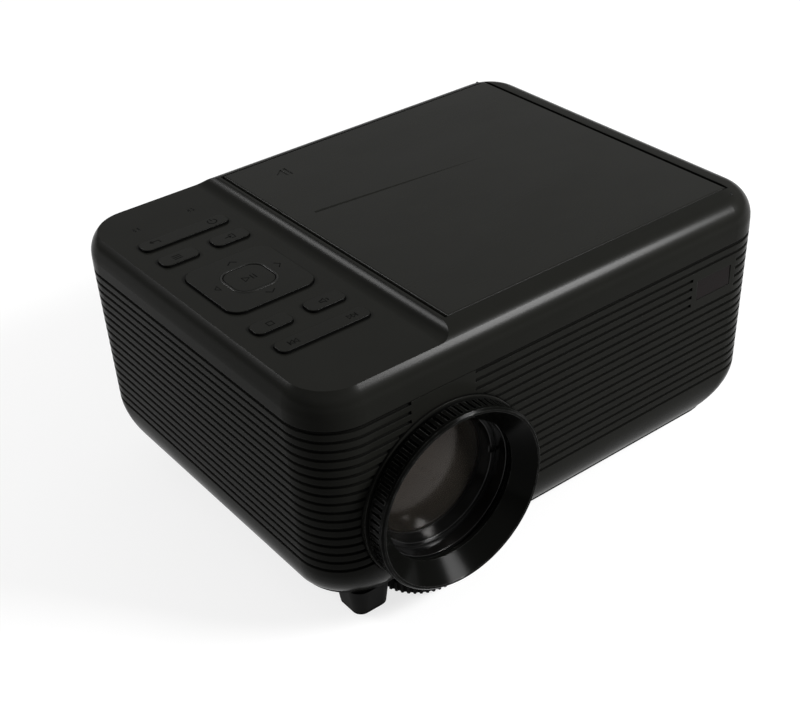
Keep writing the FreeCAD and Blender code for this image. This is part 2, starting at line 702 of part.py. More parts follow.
def seam_ring():
    """The narrow shadow gap all around, where the cover meets the housing."""
    step = size.seam_depth
    slab = box(-size.length, -size.depth, split, size.length * 2, size.depth * 2, size.seam_height)
    core = rounded_plate("SeamCore", step - half_length, half_length - step, step - half_depth,
                         half_depth - step, size.corner_radius - step, split - size.wall, size.wall * 2)
    return cut(slab, core)


def make_top_cover():
    outside = cover_block("CoverOutside", Size.of(0), split, size.height, size.shoulder_radius)
    inside = cover_block("CoverInside", size.wall, split - size.wall, cover_floor, size.inner_shoulder)
    seat = box(lid_left - size.lid_gap, -seat_half, seat_top, seat_right - lid_left + size.lid_gap,
               seat_half * 2, size.lid_wall * 3)
    mouth = box(lid_left - size.lid_gap + size.ledge, size.ledge - seat_half, cover_floor - size.wall,
                seat_right - lid_left + size.lid_gap - size.ledge, (seat_half - size.ledge) * 2,
                size.wall * 6)
    trough_left = hinge_x - size.nose_radius - size.hinge_gap
    trough = box(trough_left, -seat_half, cover_floor - size.wall, seat_right - trough_left,
                 seat_half * 2, size.wall * 6)
    pin_hole = rod(hinge_x, -seat_half - size.pin_length / 2, hinge_z, size.pin_radius,
                   seat_half * 2 + size.pin_length, "y")
    hook_slot = box(lid_left - size.hook_gap, size.hook_row - size.hook_length / 2 - size.hook_gap,
                    cover_floor - size.wall, size.hook_width + size.lid_edge + size.hook_gap * 2,
                    size.hook_length + size.hook_gap * 2, size.wall * 3)
    holes = [key_hole(x, y, wide, deep, size.key_corner) for _, x, y, wide, deep in key_places()]
    holes.append(key_hole(key_x, Size.of(0), size.pad_side, size.pad_side, size.pad_corner))
    holes.append(seam_ring())
    slits = light_slits(cover_floor - size.wall, size.wall * 3, 0)
    shell = cut(outside, inside, panel_recess(), seat, mouth, trough, pin_hole, hook_slot, *holes, *slits)
    bosses = [rod(key_x + side * size.key_boss_x, row * size.key_boss_y, key_board_top, size.stand_radius,
                  panel_top - size.wall / 2 - key_board_top) for side in (-1, 1) for row in (-1, 1)]
    return fuse(shell, *bosses)


def make_base_cover():
    inset = chin_inset + size.base_step
    body = rounded_plate("BasePlate", inset - half_length, half_length - inset, inset - half_depth,
                         half_depth - inset, size.chin_corner - size.base_step, size.foot_height,
                         size.base_wall)
    tools = []
    for x, y in base_screw_places():
        tools.append(rod(x, y, 0, size.screw_hole, size.height))
        tools.append(rod(x, y, 0, size.screw_head + size.head_gap, size.foot_height + size.screw_head_wall))
    for number in range(grille_slots):
        tools.append(box(size.main_left + number * size.fin_pitch * 2, -size.magnet_radius, 0,
                         size.fin_pitch, size.magnet_radius * 2, size.height))
    tools.append(rod(size.lens_x, wheel_y, 0, size.bush_radius + size.key_gap, size.height))
    tools.append(rod(size.insert_x, 0, 0, size.insert_radius + size.key_gap, size.height))
    stands = [rod(x, y, size.foot_height, size.stand_radius, board_z - size.foot_height)
              for x in (size.main_left + size.stand_inset, main_right - size.stand_inset)
              for y in (main_front + size.stand_inset, half_depth - size.stand_rear_inset)]
    legs = [rod(size.lens_x + side * size.leg_x, y, size.foot_height, size.stand_radius,
                engine_low - size.foot_height)
            for side in (-1, 1) for y in (engine_front + size.stand_inset, engine_back - size.stand_inset)]
    return cut(fuse(body, *stands, *legs), *tools)


# ---- lid -------------------------------------------------------------------------------------

def open_mark():
    """A triangle and a bar sunk into the lid, pointing at the edge that opens."""
    tip = lid_left + size.mark_inset
    base = tip + size.mark_length
    bar = base + size.mark_bar
    low = size.mark_row - size.mark_half
    high = size.mark_row + size.mark_half
    signs = [("MarkArrow", [(tip, size.mark_row), (base, low), (base, high)]),
             ("MarkBar", [(bar, low), (bar + size.mark_bar, low), (bar + size.mark_bar, high), (bar, high)])]
    sunk = []
    for name, corners in signs:
        body = body_named(name)
        sketch = sketch_on(body, "XY_Plane", size.height - size.mark_depth)
        polygon(sketch, corners)
        pad(body, sketch, size.mark_depth * 2)
        sunk.append(body)
    return sunk


def make_disc_lid():
    top_right = hinge_x
    body = body_named("LidPlate")
    sketch = sketch_on(body, "XY_Plane", size.height - size.lid_wall)
    polygon(sketch, [(lid_left, -lid_half), (top_right, -lid_half), (top_right, lid_half),
                     (lid_left, lid_half)])
    plate = pad(body, sketch, size.lid_wall)
    doc.recompute()
    front_and_left = []
    for index, edge in enumerate(plate.Shape.Edges, start=1):
        extent = edge.BoundBox
        on_top = extent.ZMin > size.height.value - 0.001
        at_hinge = extent.XMin > top_right.value - 0.001
        if on_top and not at_hinge:
            front_and_left.append(f"Edge{index}")
    fillet(body, plate, front_and_left, size.lid_edge)
    nose = rod(hinge_x, -lid_half, hinge_z, size.nose_radius, lid_half * 2, "y")
    crease = taper(lid_left + size.crease_start, size.crease_row, size.height + size.crease_rise,
                   size.crease_radius, size.crease_rise, size.crease_length, "x")
    crease.Placement.Rotation = (FreeCAD.Rotation(FreeCAD.Vector(0, 0, 1), -size.crease_turn.value)
                                 * turns["x"])
    hook = box(lid_left + size.lid_edge, size.hook_row - size.hook_length / 2,
               size.height - size.lid_wall - size.hook_reach, size.hook_width, size.hook_length,
               size.hook_reach + size.lid_edge)
    hook_window = box(lid_left, size.hook_row - size.hook_length / 4,
                      size.height - size.lid_wall - size.hook_reach + size.hook_width / 2,
                      size.hook_width * 2, size.hook_length / 2, size.hook_width)
    pin_bore = rod(hinge_x, -lid_half, hinge_z, size.pin_radius + size.pin_fit, lid_half * 2, "y")
    under = size.height - size.lid_wall
    ribs = [box(lid_left + size.ledge * 3, row * lid_half / 2 - size.lid_edge, under - size.lid_edge * 2,
                hinge_x - lid_left - size.ledge * 5, size.lid_edge * 2, size.lid_edge * 3)
            for row in (-1, 0, 1)]
    return cut(fuse(body, nose, hook, *ribs), crease, pin_bore, hook_window, *open_mark())


def make_hinge_pins():
    inner = size.pin_length / 2
    return group(*[rod(hinge_x, start, hinge_z, size.pin_radius, size.pin_length, "y")
                   for start in (-seat_half - inner, seat_half - inner)])


def make_latch():
    """The press-to-open catch under the lid's free edge, and its sliding plunger."""
    left = lid_left + size.lid_edge - size.hook_gap
    wide = size.hook_width + size.hook_gap * 2
    deep = size.hook_length + size.hook_gap * 2
    wall = size.latch_wall
    bottom = size.height - size.lid_wall - size.hook_reach - size.latch_space
    case = box(left - wall, size.hook_row - deep / 2 - wall, bottom - wall,
               wide + wall * 2, deep + wall * 2, cover_floor - bottom + wall)
    well = box(left, size.hook_row - deep / 2, bottom, wide, deep, size.height)
    plunger = box(left + size.key_gap, size.hook_row - deep / 2 + size.key_gap,
                  bottom + size.latch_travel + size.key_gap, wide - size.key_gap * 2,
                  deep - size.key_gap * 2, size.latch_space - size.latch_travel - size.key_gap * 2)
    return cut(case, well), plunger


# ---- keys, lights and their board ------------------------------------------------------------

def key_cap(name, x, y, wide, deep, corner, top_of_flange, stems, hole=None):
    """A key: cap through the panel, wider flange below it and stems to its domes."""
    cap = rounded_plate(name + "Cap", x - wide / 2, x + wide / 2, y - deep / 2, y + deep / 2, corner,
                        top_of_flange - size.flange_wall, panel_top + size.key_rise - top_of_flange
                        + size.flange_wall, size.key_edge)
    grow = size.key_flange
    flange = rounded_plate(name + "Flange", x - wide / 2 - grow, x + wide / 2 + grow, y - deep / 2 - grow,
                           y + deep / 2 + grow, corner + grow, top_of_flange - size.flange_wall,
                           size.flange_wall)
    posts = [rod(stem_x, stem_y, stem_low, size.stem_radius, top_of_flange - stem_low)
             for stem_x, stem_y in stems]
    key = fuse(cap, flange, *posts)
    return key if hole is None else cut(key, hole)


def arrow_places():
    reach = size.pad_side / 2 - size.key_corner * 2
    return [(key_x, reach), (key_x + reach, Size.of(0)), (key_x, -reach), (key_x - reach, Size.of(0))]


def make_nav_pad():
    """The four-way pad: a square ring around the centre key, with a stem under each arrow."""
    half = size.centre_side / 2 + size.key_gap
    hole = rounded_plate("PadHole", key_x - half, key_x + half, -half, half,
                         size.centre_corner + size.key_gap, cover_floor - size.wall * 3, size.wall * 6)
    return key_cap("NavPad", key_x, Size.of(0), size.pad_side, size.pad_side, size.pad_corner,
                   flange_top, arrow_places(), hole)


def make_centre_key():
    below_pad = flange_top - size.flange_wall - size.key_travel - size.flange_gap
    return key_cap("Centre", key_x, Size.of(0), size.centre_side, size.centre_side, size.centre_corner,
                   below_pad, [(key_x, Size.of(0))])


def make_dome_sheet():
    sheet = box(key_x - size.key_board_half, -size.sheet_half, key_board_top, size.key_board_half * 2,
                size.sheet_half * 2, size.sheet_wall)
    spots = arrow_places() + [(key_x, Size.of(0))] + [(x, y) for _, x, y, _, _ in key_places()]
    domes = [taper(x, y, sheet_top, size.dome_radius, size.dome_radius / 2, size.dome_rise)
             for x, y in spots]
    return fuse(sheet, *domes)


def make_key_board():
    return box(key_x - size.key_board_half, -size.key_board_front, key_board_top - size.board_wall,
               size.key_board_half * 2, size.key_board_front + size.key_board_rear, size.board_wall)


def make_indicator_lights():
    """Two clear light guides, each standing on the key board with its blades up through the slits."""
    blade_low = flange_top - size.wall / 2
    slits = light_slits(blade_low, panel_top - blade_low, size.flange_gap / 2)
    guides = []
    for index, side in enumerate((-1, 1)):
        block = box(key_x + side * size.light_offset - size.light_block / 2,
                    size.light_row - size.slit_length / 2, key_board_top, size.light_block,
                    size.slit_length, flange_top - key_board_top)
        guides.append(fuse(block, *slits[index * slits_per_row:(index + 1) * slits_per_row]))
    return group(*guides)


# ---- disc deck and drive ---------------------------------------------------------------------

def make_disc_deck():
    """The plate under the lid with the round well that the disc lies in."""
    left = lid_left - size.lid_gap - size.ledge / 2
    half = half_depth - deck_inset
    plate = rounded_plate("DeckPlate", left, half_length - deck_inset, -half, half,
                          size.corner_radius - deck_inset, cover_floor - size.deck_wall, size.deck_wall)
    cup = rod(disc_x, 0, well_bottom, size.well_radius + size.deck_wall, cover_floor - well_bottom)
    well = rod(disc_x, 0, well_top, size.well_radius, size.height)
    fingers = [rod(disc_x, row * size.well_radius, well_top, size.finger_radius, size.height)
               for row in (-1, 1)]
    walls = [rod(disc_x, row * size.well_radius, well_bottom, size.finger_radius + size.deck_wall,
                 cover_floor - well_bottom) for row in (-1, 1)]
    inside = box(left, -half, well_bottom, half_length - deck_inset - left, half * 2,
                 cover_floor - well_bottom)
    slot = box(disc_x + size.hub_flange, -size.slot_width / 2, well_bottom - size.wall, size.slot_length,
               size.slot_width, size.wall * 3)
    axle_hole = rod(disc_x, 0, well_bottom - size.wall, size.axle_hole, size.wall * 3)
    latch_gap = size.latch_wall + size.hook_gap + size.deck_gap
    latch_hole = box(lid_left - size.lid_gap - size.ledge, size.hook_row - size.hook_length / 2 - latch_gap,
                     well_bottom, size.ledge + size.lid_gap + size.hook_width + size.lid_edge + latch_gap,
                     size.hook_length + latch_gap * 2, size.height)
    posts = [rod(x, y, chassis_top + size.damper_height, size.stand_radius,
                 cover_floor - size.deck_wall / 2 - chassis_top - size.damper_height)
             for x, y in damper_places()]
    shell = cut(fuse(plate, cup, *[common(wall, inside) for wall in walls]), well, *fingers, slot,
                axle_hole, latch_hole)
    return fuse(shell, *[cut(post, well_clear()) for post in posts])


def well_clear():
    return rod(disc_x, 0, well_top - size.well_floor / 2, size.well_radius + size.deck_wall / 2, size.height)


def damper_places():
    return [(disc_x + x, row * (size.chassis_half - size.damper_inset))
            for x in (size.damper_inset - size.chassis_left, size.chassis_right - size.damper_inset)
            for row in (-1, 1)]


def rod_posts():
    """The four blocks that hold the guide rods, and the two that hold the feed screw."""
    posts = []
    high = size.rod_rise + size.rod_radius * 2
    low = chassis_top - size.chassis_wall / 2
    for place_x in (size.post_left, size.post_right):
        for row in (-size.rod_row, size.rod_row):
            posts.append(box(disc_x + place_x, row - size.post_side / 2, low, size.post_side,
                             size.post_side, high))
        posts.append(box(disc_x + place_x, -size.screw_row - size.post_side / 2, low, size.post_side,
                         size.post_side, high))
    return posts


def make_drive_chassis():
    low = chassis_top - size.chassis_wall
    plate = box(disc_x - size.chassis_left, -size.chassis_half, low, size.chassis_left + size.chassis_right,
                size.chassis_half * 2, size.chassis_wall)
    window = box(disc_x + size.motor_radius + size.post_side, -size.rod_row / 2, low - size.wall,
                 size.sled_travel, size.rod_row, size.wall * 3)
    board_posts = [rod(x, y, low - size.disc_board_drop, size.stand_radius,
                       size.disc_board_drop + size.chassis_wall) for x, y in disc_board_corners()]
    reach = size.post_right + size.post_side + size.wall
    bores = [rod(disc_x + size.post_left - size.wall, row, rod_z, size.rod_radius + size.rod_fit, reach, "x")
             for row in (-size.rod_row, size.rod_row)]
    screw_bore = rod(disc_x + size.post_left - size.wall, -size.screw_row, rod_z,
                     size.screw_radius + size.rod_fit, reach, "x")
    return cut(fuse(cut(plate, window), *rod_posts(), *board_posts), *bores, screw_bore)


def disc_board_corners():
    middle = disc_x + (size.chassis_right - size.chassis_left) / 2
    return [(middle + side * (size.disc_board_length / 2 - size.stand_inset),
             row * (size.disc_board_depth / 2 - size.stand_inset)) for side in (-1, 1) for row in (-1, 1)]


def make_disc_board():
    middle = disc_x + (size.chassis_right - size.chassis_left) / 2
    top = chassis_top - size.chassis_wall - size.disc_board_drop
    return box(middle - size.disc_board_length / 2, -size.disc_board_depth / 2, top - size.board_wall,
               size.disc_board_length, size.disc_board_depth, size.board_wall)


def make_guide_rods():
    start = disc_x + size.post_left
    length = size.post_right - size.post_left + size.post_side
    return group(*[rod(start, row, rod_z, size.rod_radius, length, "x")
                   for row in (-size.rod_row, size.rod_row)])


def make_lead_screw():
    return rod(disc_x + size.post_left - size.feed_length / 4, -size.screw_row, rod_z, size.screw_radius,
               size.post_right + size.feed_length / 4, "x")


def make_feed_motor():
    start = disc_x + size.post_left - size.feed_length
    motor = rod(start, -size.screw_row, rod_z, size.feed_radius, size.feed_length, "x")
    bore = rod(start + size.feed_length * 0.75 - size.nut_gap, -size.screw_row, rod_z,
               size.screw_radius + size.rod_fit, size.feed_length, "x")
    foot = box(start, -size.screw_row - size.feed_radius / 2, chassis_top, size.feed_length,
               size.feed_radius, rod_z - chassis_top)
    return cut(fuse(motor, foot), bore)


def make_pickup_sled():
    """The carriage on the two rods, cut away around the spindle motor, with its nut on the screw."""
    start = disc_x + size.sled_start
    low = chassis_top + size.sled_low
    block = box(start, -size.sled_half, low, size.sled_length, size.sled_half * 2,
                size.sled_high - size.sled_low)
    nut_reach = size.screw_row + size.nut_width / 2
    nut = box(start + size.sled_length / 2, -nut_reach, low, size.nut_width, nut_reach - size.rod_row,
              size.sled_high - size.sled_low)
    around_motor = rod(disc_x, 0, chassis_top, size.motor_radius + size.motor_clear, size.height)
    bores = [rod(start - size.wall, row, rod_z, size.rod_radius + size.rod_fit,
                 size.sled_length + size.wall * 2, "x") for row in (-size.rod_row, size.rod_row)]
    screw_bore = rod(start, -size.screw_row, rod_z, size.screw_radius + size.nut_gap, size.sled_length, "x")
    eye_seat = rod(disc_x + size.eye_x, 0, low, size.eye_radius + size.nut_gap, size.height)
    sled = cut(fuse(block, nut), around_motor, *bores, screw_bore, eye_seat)
    return group(sled, pickup_eye())


def pickup_eye():
    """The object lens in its holder, seated in the sled and reaching up to the disc."""
    low = chassis_top + size.sled_low
    holder = rod(disc_x + size.eye_x, 0, low, size.eye_radius, disc_z - size.eye_gap - low)
    collar = box(disc_x + size.eye_x - size.eye_block / 2, -size.eye_block / 2,
                 chassis_top + size.sled_high, size.eye_block, size.eye_block, size.collar_rise)
    return fuse(holder, collar)


def make_spindle_motor():
    motor = rod(disc_x, 0, chassis_top, size.motor_radius, size.motor_height)
    bore = rod(disc_x, 0, chassis_top + size.wall, size.spindle_radius + size.spindle_fit,
               size.motor_height)
    return cut(motor, bore)


def make_turntable():
    """Spindle, platter and centring boss in one turning piece, with three catches for the disc."""
    shaft_low = chassis_top + size.wall + size.nut_gap
    neck_low = motor_top + size.nut_gap
    platter_low = well_top + size.nut_gap * 2
    corners = [
        (Size.of(0), shaft_low), (size.spindle_radius, shaft_low), (size.spindle_radius, neck_low),
        (size.neck_radius, neck_low), (size.neck_radius, platter_low), (size.hub_flange, platter_low),
        (size.hub_flange, disc_z), (size.hub_radius, disc_z),
        (size.hub_radius, disc_z + size.disc_rise), (size.hub_tip, disc_z + size.hub_rise),
        (Size.of(0), disc_z + size.hub_rise),
    ]
    hub = turned_piece("Turntable", corners, disc_x, 0, 0)
    balls = []
    reach = size.hub_radius - size.ball_radius / 2
    for number in range(catch_count):
        angle = math.radians(number * 360 / catch_count)
        ball = doc.addObject("Part::Sphere", "Catch")
        bind(ball, "Radius", size.ball_radius)
        place(ball, disc_x + reach * round(math.cos(angle), 6), reach * round(math.sin(angle), 6),
              disc_z + size.disc_rise / 2)
        balls.append(ball)
    return fuse(hub, *balls)


def make_deck_dampers():
    return group(*[rod(x, y, chassis_top, size.damper_radius, size.damper_height)
                   for x, y in damper_places()])


# ---- projection lens -------------------------------------------------------------------------

def make_focus_ring():
    """The toothed ring with its hood in front and its sleeve on the lens tube behind."""
    front = ring_front
    root = size.ring_radius - size.tooth_depth
    corners = [
        (size.hood_mouth, front), (size.ring_radius - size.lip_round, front),
        (size.ring_radius, front + size.lip_round), (size.ring_radius, front + size.front_band),
        (root, front + size.front_band), (root, ring_back), (sleeve_radius, ring_back),
        (sleeve_radius, ring_back + size.sleeve_length), (sleeve_bore, ring_back + size.sleeve_length),
        (sleeve_bore, ring_back), (size.hood_throat, ring_back), (size.hood_throat, front + size.hood_depth),
    ]
    ring = turned_piece("FocusRing", corners, size.lens_x, 0, lens_z, "y")
    teeth = []
    for number in range(tooth_count):
        angle = number * 360 / tooth_count
        tooth = doc.addObject("Part::Box", "Tooth")
        bind(tooth, "Length", size.tooth_depth * 2)
        bind(tooth, "Width", size.tooth_band)
        bind(tooth, "Height", size.tooth_width)
        turn = FreeCAD.Rotation(FreeCAD.Vector(0, 1, 0), -angle)
        tooth.Placement.Rotation = turn
        reach = size.ring_radius - size.tooth_depth * 2
        half = size.tooth_width / 2
        cosine = round(math.cos(math.radians(angle)), 6)
        sine = round(math.sin(math.radians(angle)), 6)
        place(tooth, size.lens_x + reach * cosine + half * sine, front + size.front_band,
              lens_z + reach * sine - half * cosine)
        teeth.append(tooth)
    return fuse(ring, *teeth)


def make_lens_bezel():
    return tube(size.lens_x, -half_depth - size.bezel_reach, lens_z, bezel_radius, bezel_bore,
                size.bezel_length, "y")


def make_lens_mount():
    """The fixed tube and the plate that carries it on the light engine."""
    barrel = rod(size.lens_x, tube_front, lens_z, tube_radius, size.tube_length, "y")
    plate = box(engine_left, engine_front - size.mount_wall, engine_low, size.mount_width,
                size.mount_wall, size.mount_height)
    bore = rod(size.lens_x, tube_front - size.wall, lens_z, tube_bore, size.tube_length + size.wall * 2, "y")
    return cut(fuse(barrel, plate), bore)


def make_lens_cell():
    """The moving barrel, stepped inside to seat the front and rear glass."""
    seat = glass_front + size.glass_edge
    rear = cell_front + size.cell_length
    rear_bore = size.rear_glass_radius + size.glass_fit
    corners = [
        (cell_bore, cell_front), (cell_radius, cell_front), (cell_radius, rear), (rear_bore, rear),
        (rear_bore, rear - size.rear_seat), (size.waist_bore, rear - size.rear_seat),
        (size.waist_bore, seat + size.seat_length), (size.seat_bore, seat + size.seat_length),
        (size.seat_bore, seat), (cell_bore, seat),
    ]
    return turned_piece("LensCell", corners, size.lens_x, 0, lens_z, "y")


def make_lens_retainer():
    """The ring that holds the front glass, with two slots for a spanner."""
    outer = cell_bore - size.retainer_fit
    corners = [(size.retainer_mouth, retainer_front), (outer, retainer_front), (outer, glass_front),
               (size.glass_radius + size.glass_fit, glass_front)]
    ring = turned_piece("Retainer", corners, size.lens_x, 0, lens_z, "y")
    slots = box(size.lens_x - size.ring_radius, retainer_front, lens_z - size.spanner_width / 2,
                size.ring_radius * 2, size.spanner_depth, size.spanner_width)
    return cut(ring, slots)


def make_front_lens():
    return lens_shape(size.lens_x, glass_front, lens_z, cell_bore - size.glass_fit, size.glass_edge,
                      size.glass_radius, size.glass_bulge, size.rear_glass_bulge)


def make_rear_lens():
    return lens_shape(size.lens_x, cell_front + size.cell_length - size.rear_seat, lens_z,
                      size.rear_glass_radius, size.rear_glass_edge, size.rear_glass_cap,
                      size.rear_glass_bulge, size.rear_glass_bulge)


# ---- light engine ----------------------------------------------------------------------------

inner_left = engine_left + size.engine_wall
inner_width = size.mount_width - size.engine_wall * 2
inner_low = engine_low + size.engine_wall
inner_height = size.mount_height - size.engine_wall * 2


def engine_wall_plate(start, thickness, height):
    """A plate across the light box, standing on its floor."""
    return box(inner_left + size.engine_gap, start, inner_low, inner_width - size.engine_gap * 2,
               thickness, height)


def around_axis(start, wide, high, thickness):
    """A block centred on the lens axis."""
    return box(size.lens_x - wide / 2, start, lens_z - high / 2, wide, thickness, high)


def make_engine_box():
    """The light box, open at the top, with the condenser's wall moulded inside."""
    outside = box(engine_left, engine_front, engine_low, size.mount_width, size.engine_length,
                  size.mount_height - size.engine_wall)
    inside = box(inner_left, engine_front + size.engine_wall, inner_low, inner_width,
                 size.engine_length - size.engine_wall * 2, size.height)
    front_hole = rod(size.lens_x, engine_front - size.wall, lens_z, tube_bore + size.cell_setback / 2,
                     size.wall * 3, "y")
    rear_hole = around_axis(engine_back - size.wall * 2, size.led_hole, size.led_hole, size.wall * 4)
    holder = box(inner_left - size.engine_wall / 2, engine_front + size.condenser_place,
                 inner_low - size.engine_wall / 2, inner_width + size.engine_wall, size.holder_wall,
                 inner_height + size.engine_wall / 2)
    holder_hole = rod(size.lens_x, engine_front + size.condenser_place - size.wall, lens_z,
                      size.condenser_radius + size.engine_gap, size.wall * 4, "y")
    return cut(fuse(cut(outside, inside), holder), front_hole, rear_hole, holder_hole)


def make_engine_cover():
    return box(engine_left, engine_front, engine_low + size.mount_height - size.engine_wall,
               size.mount_width, size.engine_length, size.engine_wall)


def make_lcd_frame():
    start = engine_front + size.lcd_place
    frame = engine_wall_plate(start, size.frame_wall, inner_height - size.engine_gap)
    seat = around_axis(start, size.lcd_width + size.engine_gap, size.lcd_height + size.engine_gap,
                       size.lcd_wall)
    window = around_axis(start - size.wall, size.lcd_width - size.frame_lip * 2,
                         size.lcd_height - size.frame_lip * 2, size.frame_wall * 2)
    return cut(frame, seat, window)


def make_lcd_panel():
    return around_axis(engine_front + size.lcd_place, size.lcd_width, size.lcd_height, size.lcd_wall)


def make_light_plates():
    """The two ribbed lenses on the faces of the panel's frame, and the heat filter behind them."""
    frame_front = engine_front + size.lcd_place
    ribbed = [around_axis(start, size.lcd_width + size.window_margin * 2,
                          size.lcd_height + size.window_margin * 2, size.plate_wall)
              for start in (frame_front - size.plate_wall, frame_front + size.frame_wall)]
    heat_filter = engine_wall_plate(engine_front + size.filter_place, size.plate_wall, size.filter_height)
    return group(*ribbed, heat_filter)


def make_condenser_lens():
    return lens_shape(size.lens_x, engine_front + size.condenser_place, lens_z, size.condenser_radius,
                      size.holder_wall, size.condenser_radius - size.plate_wall, size.condenser_bulge,
                      size.lcd_wall)


def make_led_module():
    board = around_axis(engine_back - size.led_board_wall, size.led_board_side, size.led_board_side,
                        size.led_board_wall)
    emitter = around_axis(engine_back - size.led_board_wall - size.led_wall, size.led_side,
                          size.led_side, size.led_wall)
    return group(board, emitter)


def make_heatsink():
    base = around_axis(engine_back, size.sink_width, size.sink_height, size.sink_base)
    fins = []
    for number in range(fin_count):
        start = size.lens_x - size.sink_width / 2 + number * size.fin_pitch
        fins.append(box(start, engine_back + size.sink_base / 2, lens_z - size.sink_height / 2,
                        size.fin_wall, size.sink_depth + size.sink_base / 2, size.sink_height))
    return fuse(base, *fins)


# ---- fan -------------------------------------------------------------------------------------

fan_front = fan_back - size.fan_depth


def make_fan_frame():
    """The square frame with its round bore, and the web behind the rotor that holds its axle."""
    frame = cut(around_axis(fan_front, size.fan_side, size.fan_side, size.fan_depth),
                rod(size.lens_x, fan_front - size.wall, lens_z, size.fan_bore, size.fan_depth * 2, "y"))
    web_front = fan_back - size.fan_web
    arms = [around_axis(web_front, size.fan_bore * 2 + size.fan_web, size.fan_web * 2, size.fan_web),
            around_axis(web_front, size.fan_web * 2, size.fan_bore * 2 + size.fan_web, size.fan_web)]
    plate = rod(size.lens_x, web_front, lens_z, size.fan_hub, size.fan_web, "y")
    axle = rod(size.lens_x, fan_front + size.fan_web * 2, lens_z, size.fan_axle,
               size.fan_depth - size.fan_web * 3, "y")
    return fuse(frame, *arms, plate, axle)


def make_fan_rotor():
    """The hub with its tilted blades, turning on the axle."""
    front = fan_front + size.fan_gap
    length = size.fan_depth - size.fan_web - size.fan_gap * 2
    hub = rod(size.lens_x, front, lens_z, size.fan_hub, length, "y")
    bore = rod(size.lens_x, front + size.fan_web, lens_z, size.fan_axle + size.turn_fit, length, "y")
    blades = []
    for number in range(blade_count):
        blade = doc.addObject("Part::Box", "Blade")
        bind(blade, "Length", size.blade_wall)
        bind(blade, "Width", size.blade_depth)
        bind(blade, "Height", size.blade_radius)
        around = FreeCAD.Rotation(FreeCAD.Vector(0, 1, 0), number * 360 / blade_count)
        tilt = FreeCAD.Rotation(FreeCAD.Vector(0, 0, 1), size.blade_turn.value)
        blade.Placement.Rotation = around * tilt
        place(blade, size.lens_x, front + size.fan_gap * 2, lens_z)
        blades.append(blade)
    sweep = rod(size.lens_x, front, lens_z, size.blade_radius, length, "y")
    return cut(common(fuse(hub, *blades), sweep), bore)


# ---- boards and speakers ---------------------------------------------------------------------

def make_main_board():
    return box(size.main_left, main_front, board_z, main_right - size.main_left,
               main_rear - main_front, size.board_wall)


def make_board_parts():
    """Capacitors, chips and plugs on the main board, and the receiver behind its window."""
    cans = [(12, 40, 5, 16), (26, 42, 5, 16), (14, 24, 4, 12), (70, 40, 6, 18), (84, 30, 4, 12)]
    blocks = [(34, -10, 22, 22, 3), (30, 18, 12, 10, 2), (64, -6, 16, 10, 2), (10, -40, 14, 14, 9),
              (34, -48, 20, 6, 8), (66, -50, 14, 6, 8), (6, -8, 14, 14, 10)]
    pieces = [rod(x, y, board_top, radius, high) for x, y, radius, high in cans]
    pieces += [box(x, y, board_top, wide, deep, high) for x, y, wide, deep, high in blocks]
    pieces.append(box(size.window_x - size.receiver_side / 2, window_back,
                      window_z - size.receiver_side / 2, size.receiver_side, size.receiver_side,
                      size.receiver_side))
    return group(*pieces)


speaker_low = size.speaker_height - size.speaker_radius
speaker_face = half_length - size.wall - slope * (split - speaker_low) - size.plate_gap


def make_speakers():
    """Two baskets with their magnets, behind the slots in the right wall."""
    baskets = []
    for row in (-size.speaker_row, size.speaker_row):
        back = speaker_face - size.speaker_depth
        rim = rod(speaker_face - size.wall, row, size.speaker_height, size.speaker_radius, size.wall, "x")
        basket = taper(back, row, size.speaker_height, size.magnet_radius,
                       size.speaker_radius - size.wall / 2, size.speaker_depth - size.wall / 2, "x")
        magnet = rod(back - size.magnet_depth, row, size.speaker_height, size.magnet_radius,
                     size.magnet_depth + size.wall, "x")
        hollow = taper(back + size.wall, row, size.speaker_height, size.magnet_radius - size.wall / 2,
                       size.speaker_radius - size.wall, size.speaker_depth - size.wall + size.cone_gap, "x")
        baskets.append(cut(fuse(rim, basket, magnet), hollow))
    return group(*baskets)


def make_speaker_cones():
    cones = []
    for row in (-size.speaker_row, size.speaker_row):
        back = speaker_face - size.speaker_depth + size.wall
        length = size.speaker_depth - size.wall
        wide = size.speaker_radius - size.wall - size.cone_gap
        narrow = size.magnet_radius - size.wall / 2 - size.cone_gap
        outer = taper(back + size.cone_gap, row, size.speaker_height, narrow, wide,
                      length - size.cone_gap, "x")
        inner = taper(back + size.wall, row, size.speaker_height, narrow / 2, wide - size.cone_gap * 2,
                      length - size.wall, "x")
        cones.append(cut(outer, inner))
    return group(*cones)


# ---- ports in the rear wall ------------------------------------------------------------------

port_wall = size.wall + size.port_space
port_back = plate_face - port_wall


def port_mouths():
    """The mouths of the jacks, as blocks and rods through the plate."""
    start = plate_face - size.wall * 2
    length = size.wall * 4
    mouths = [box(x - wide / 2, start, port_z - high / 2, wide, length, high)
              for x, wide, high in ((size.switch_x, size.switch_width, size.switch_height),
                                    (size.serial_x, size.serial_width, size.serial_height),
                                    (size.video_x, size.video_width, size.video_height))]
    mouths.append(rod(size.power_x, start, port_z, size.power_radius, length, "y"))
    for x in (size.audio_x, size.audio_x + size.audio_pitch):
        mouths.append(rod(x, start, port_z, size.audio_radius, length, "y"))
    return mouths


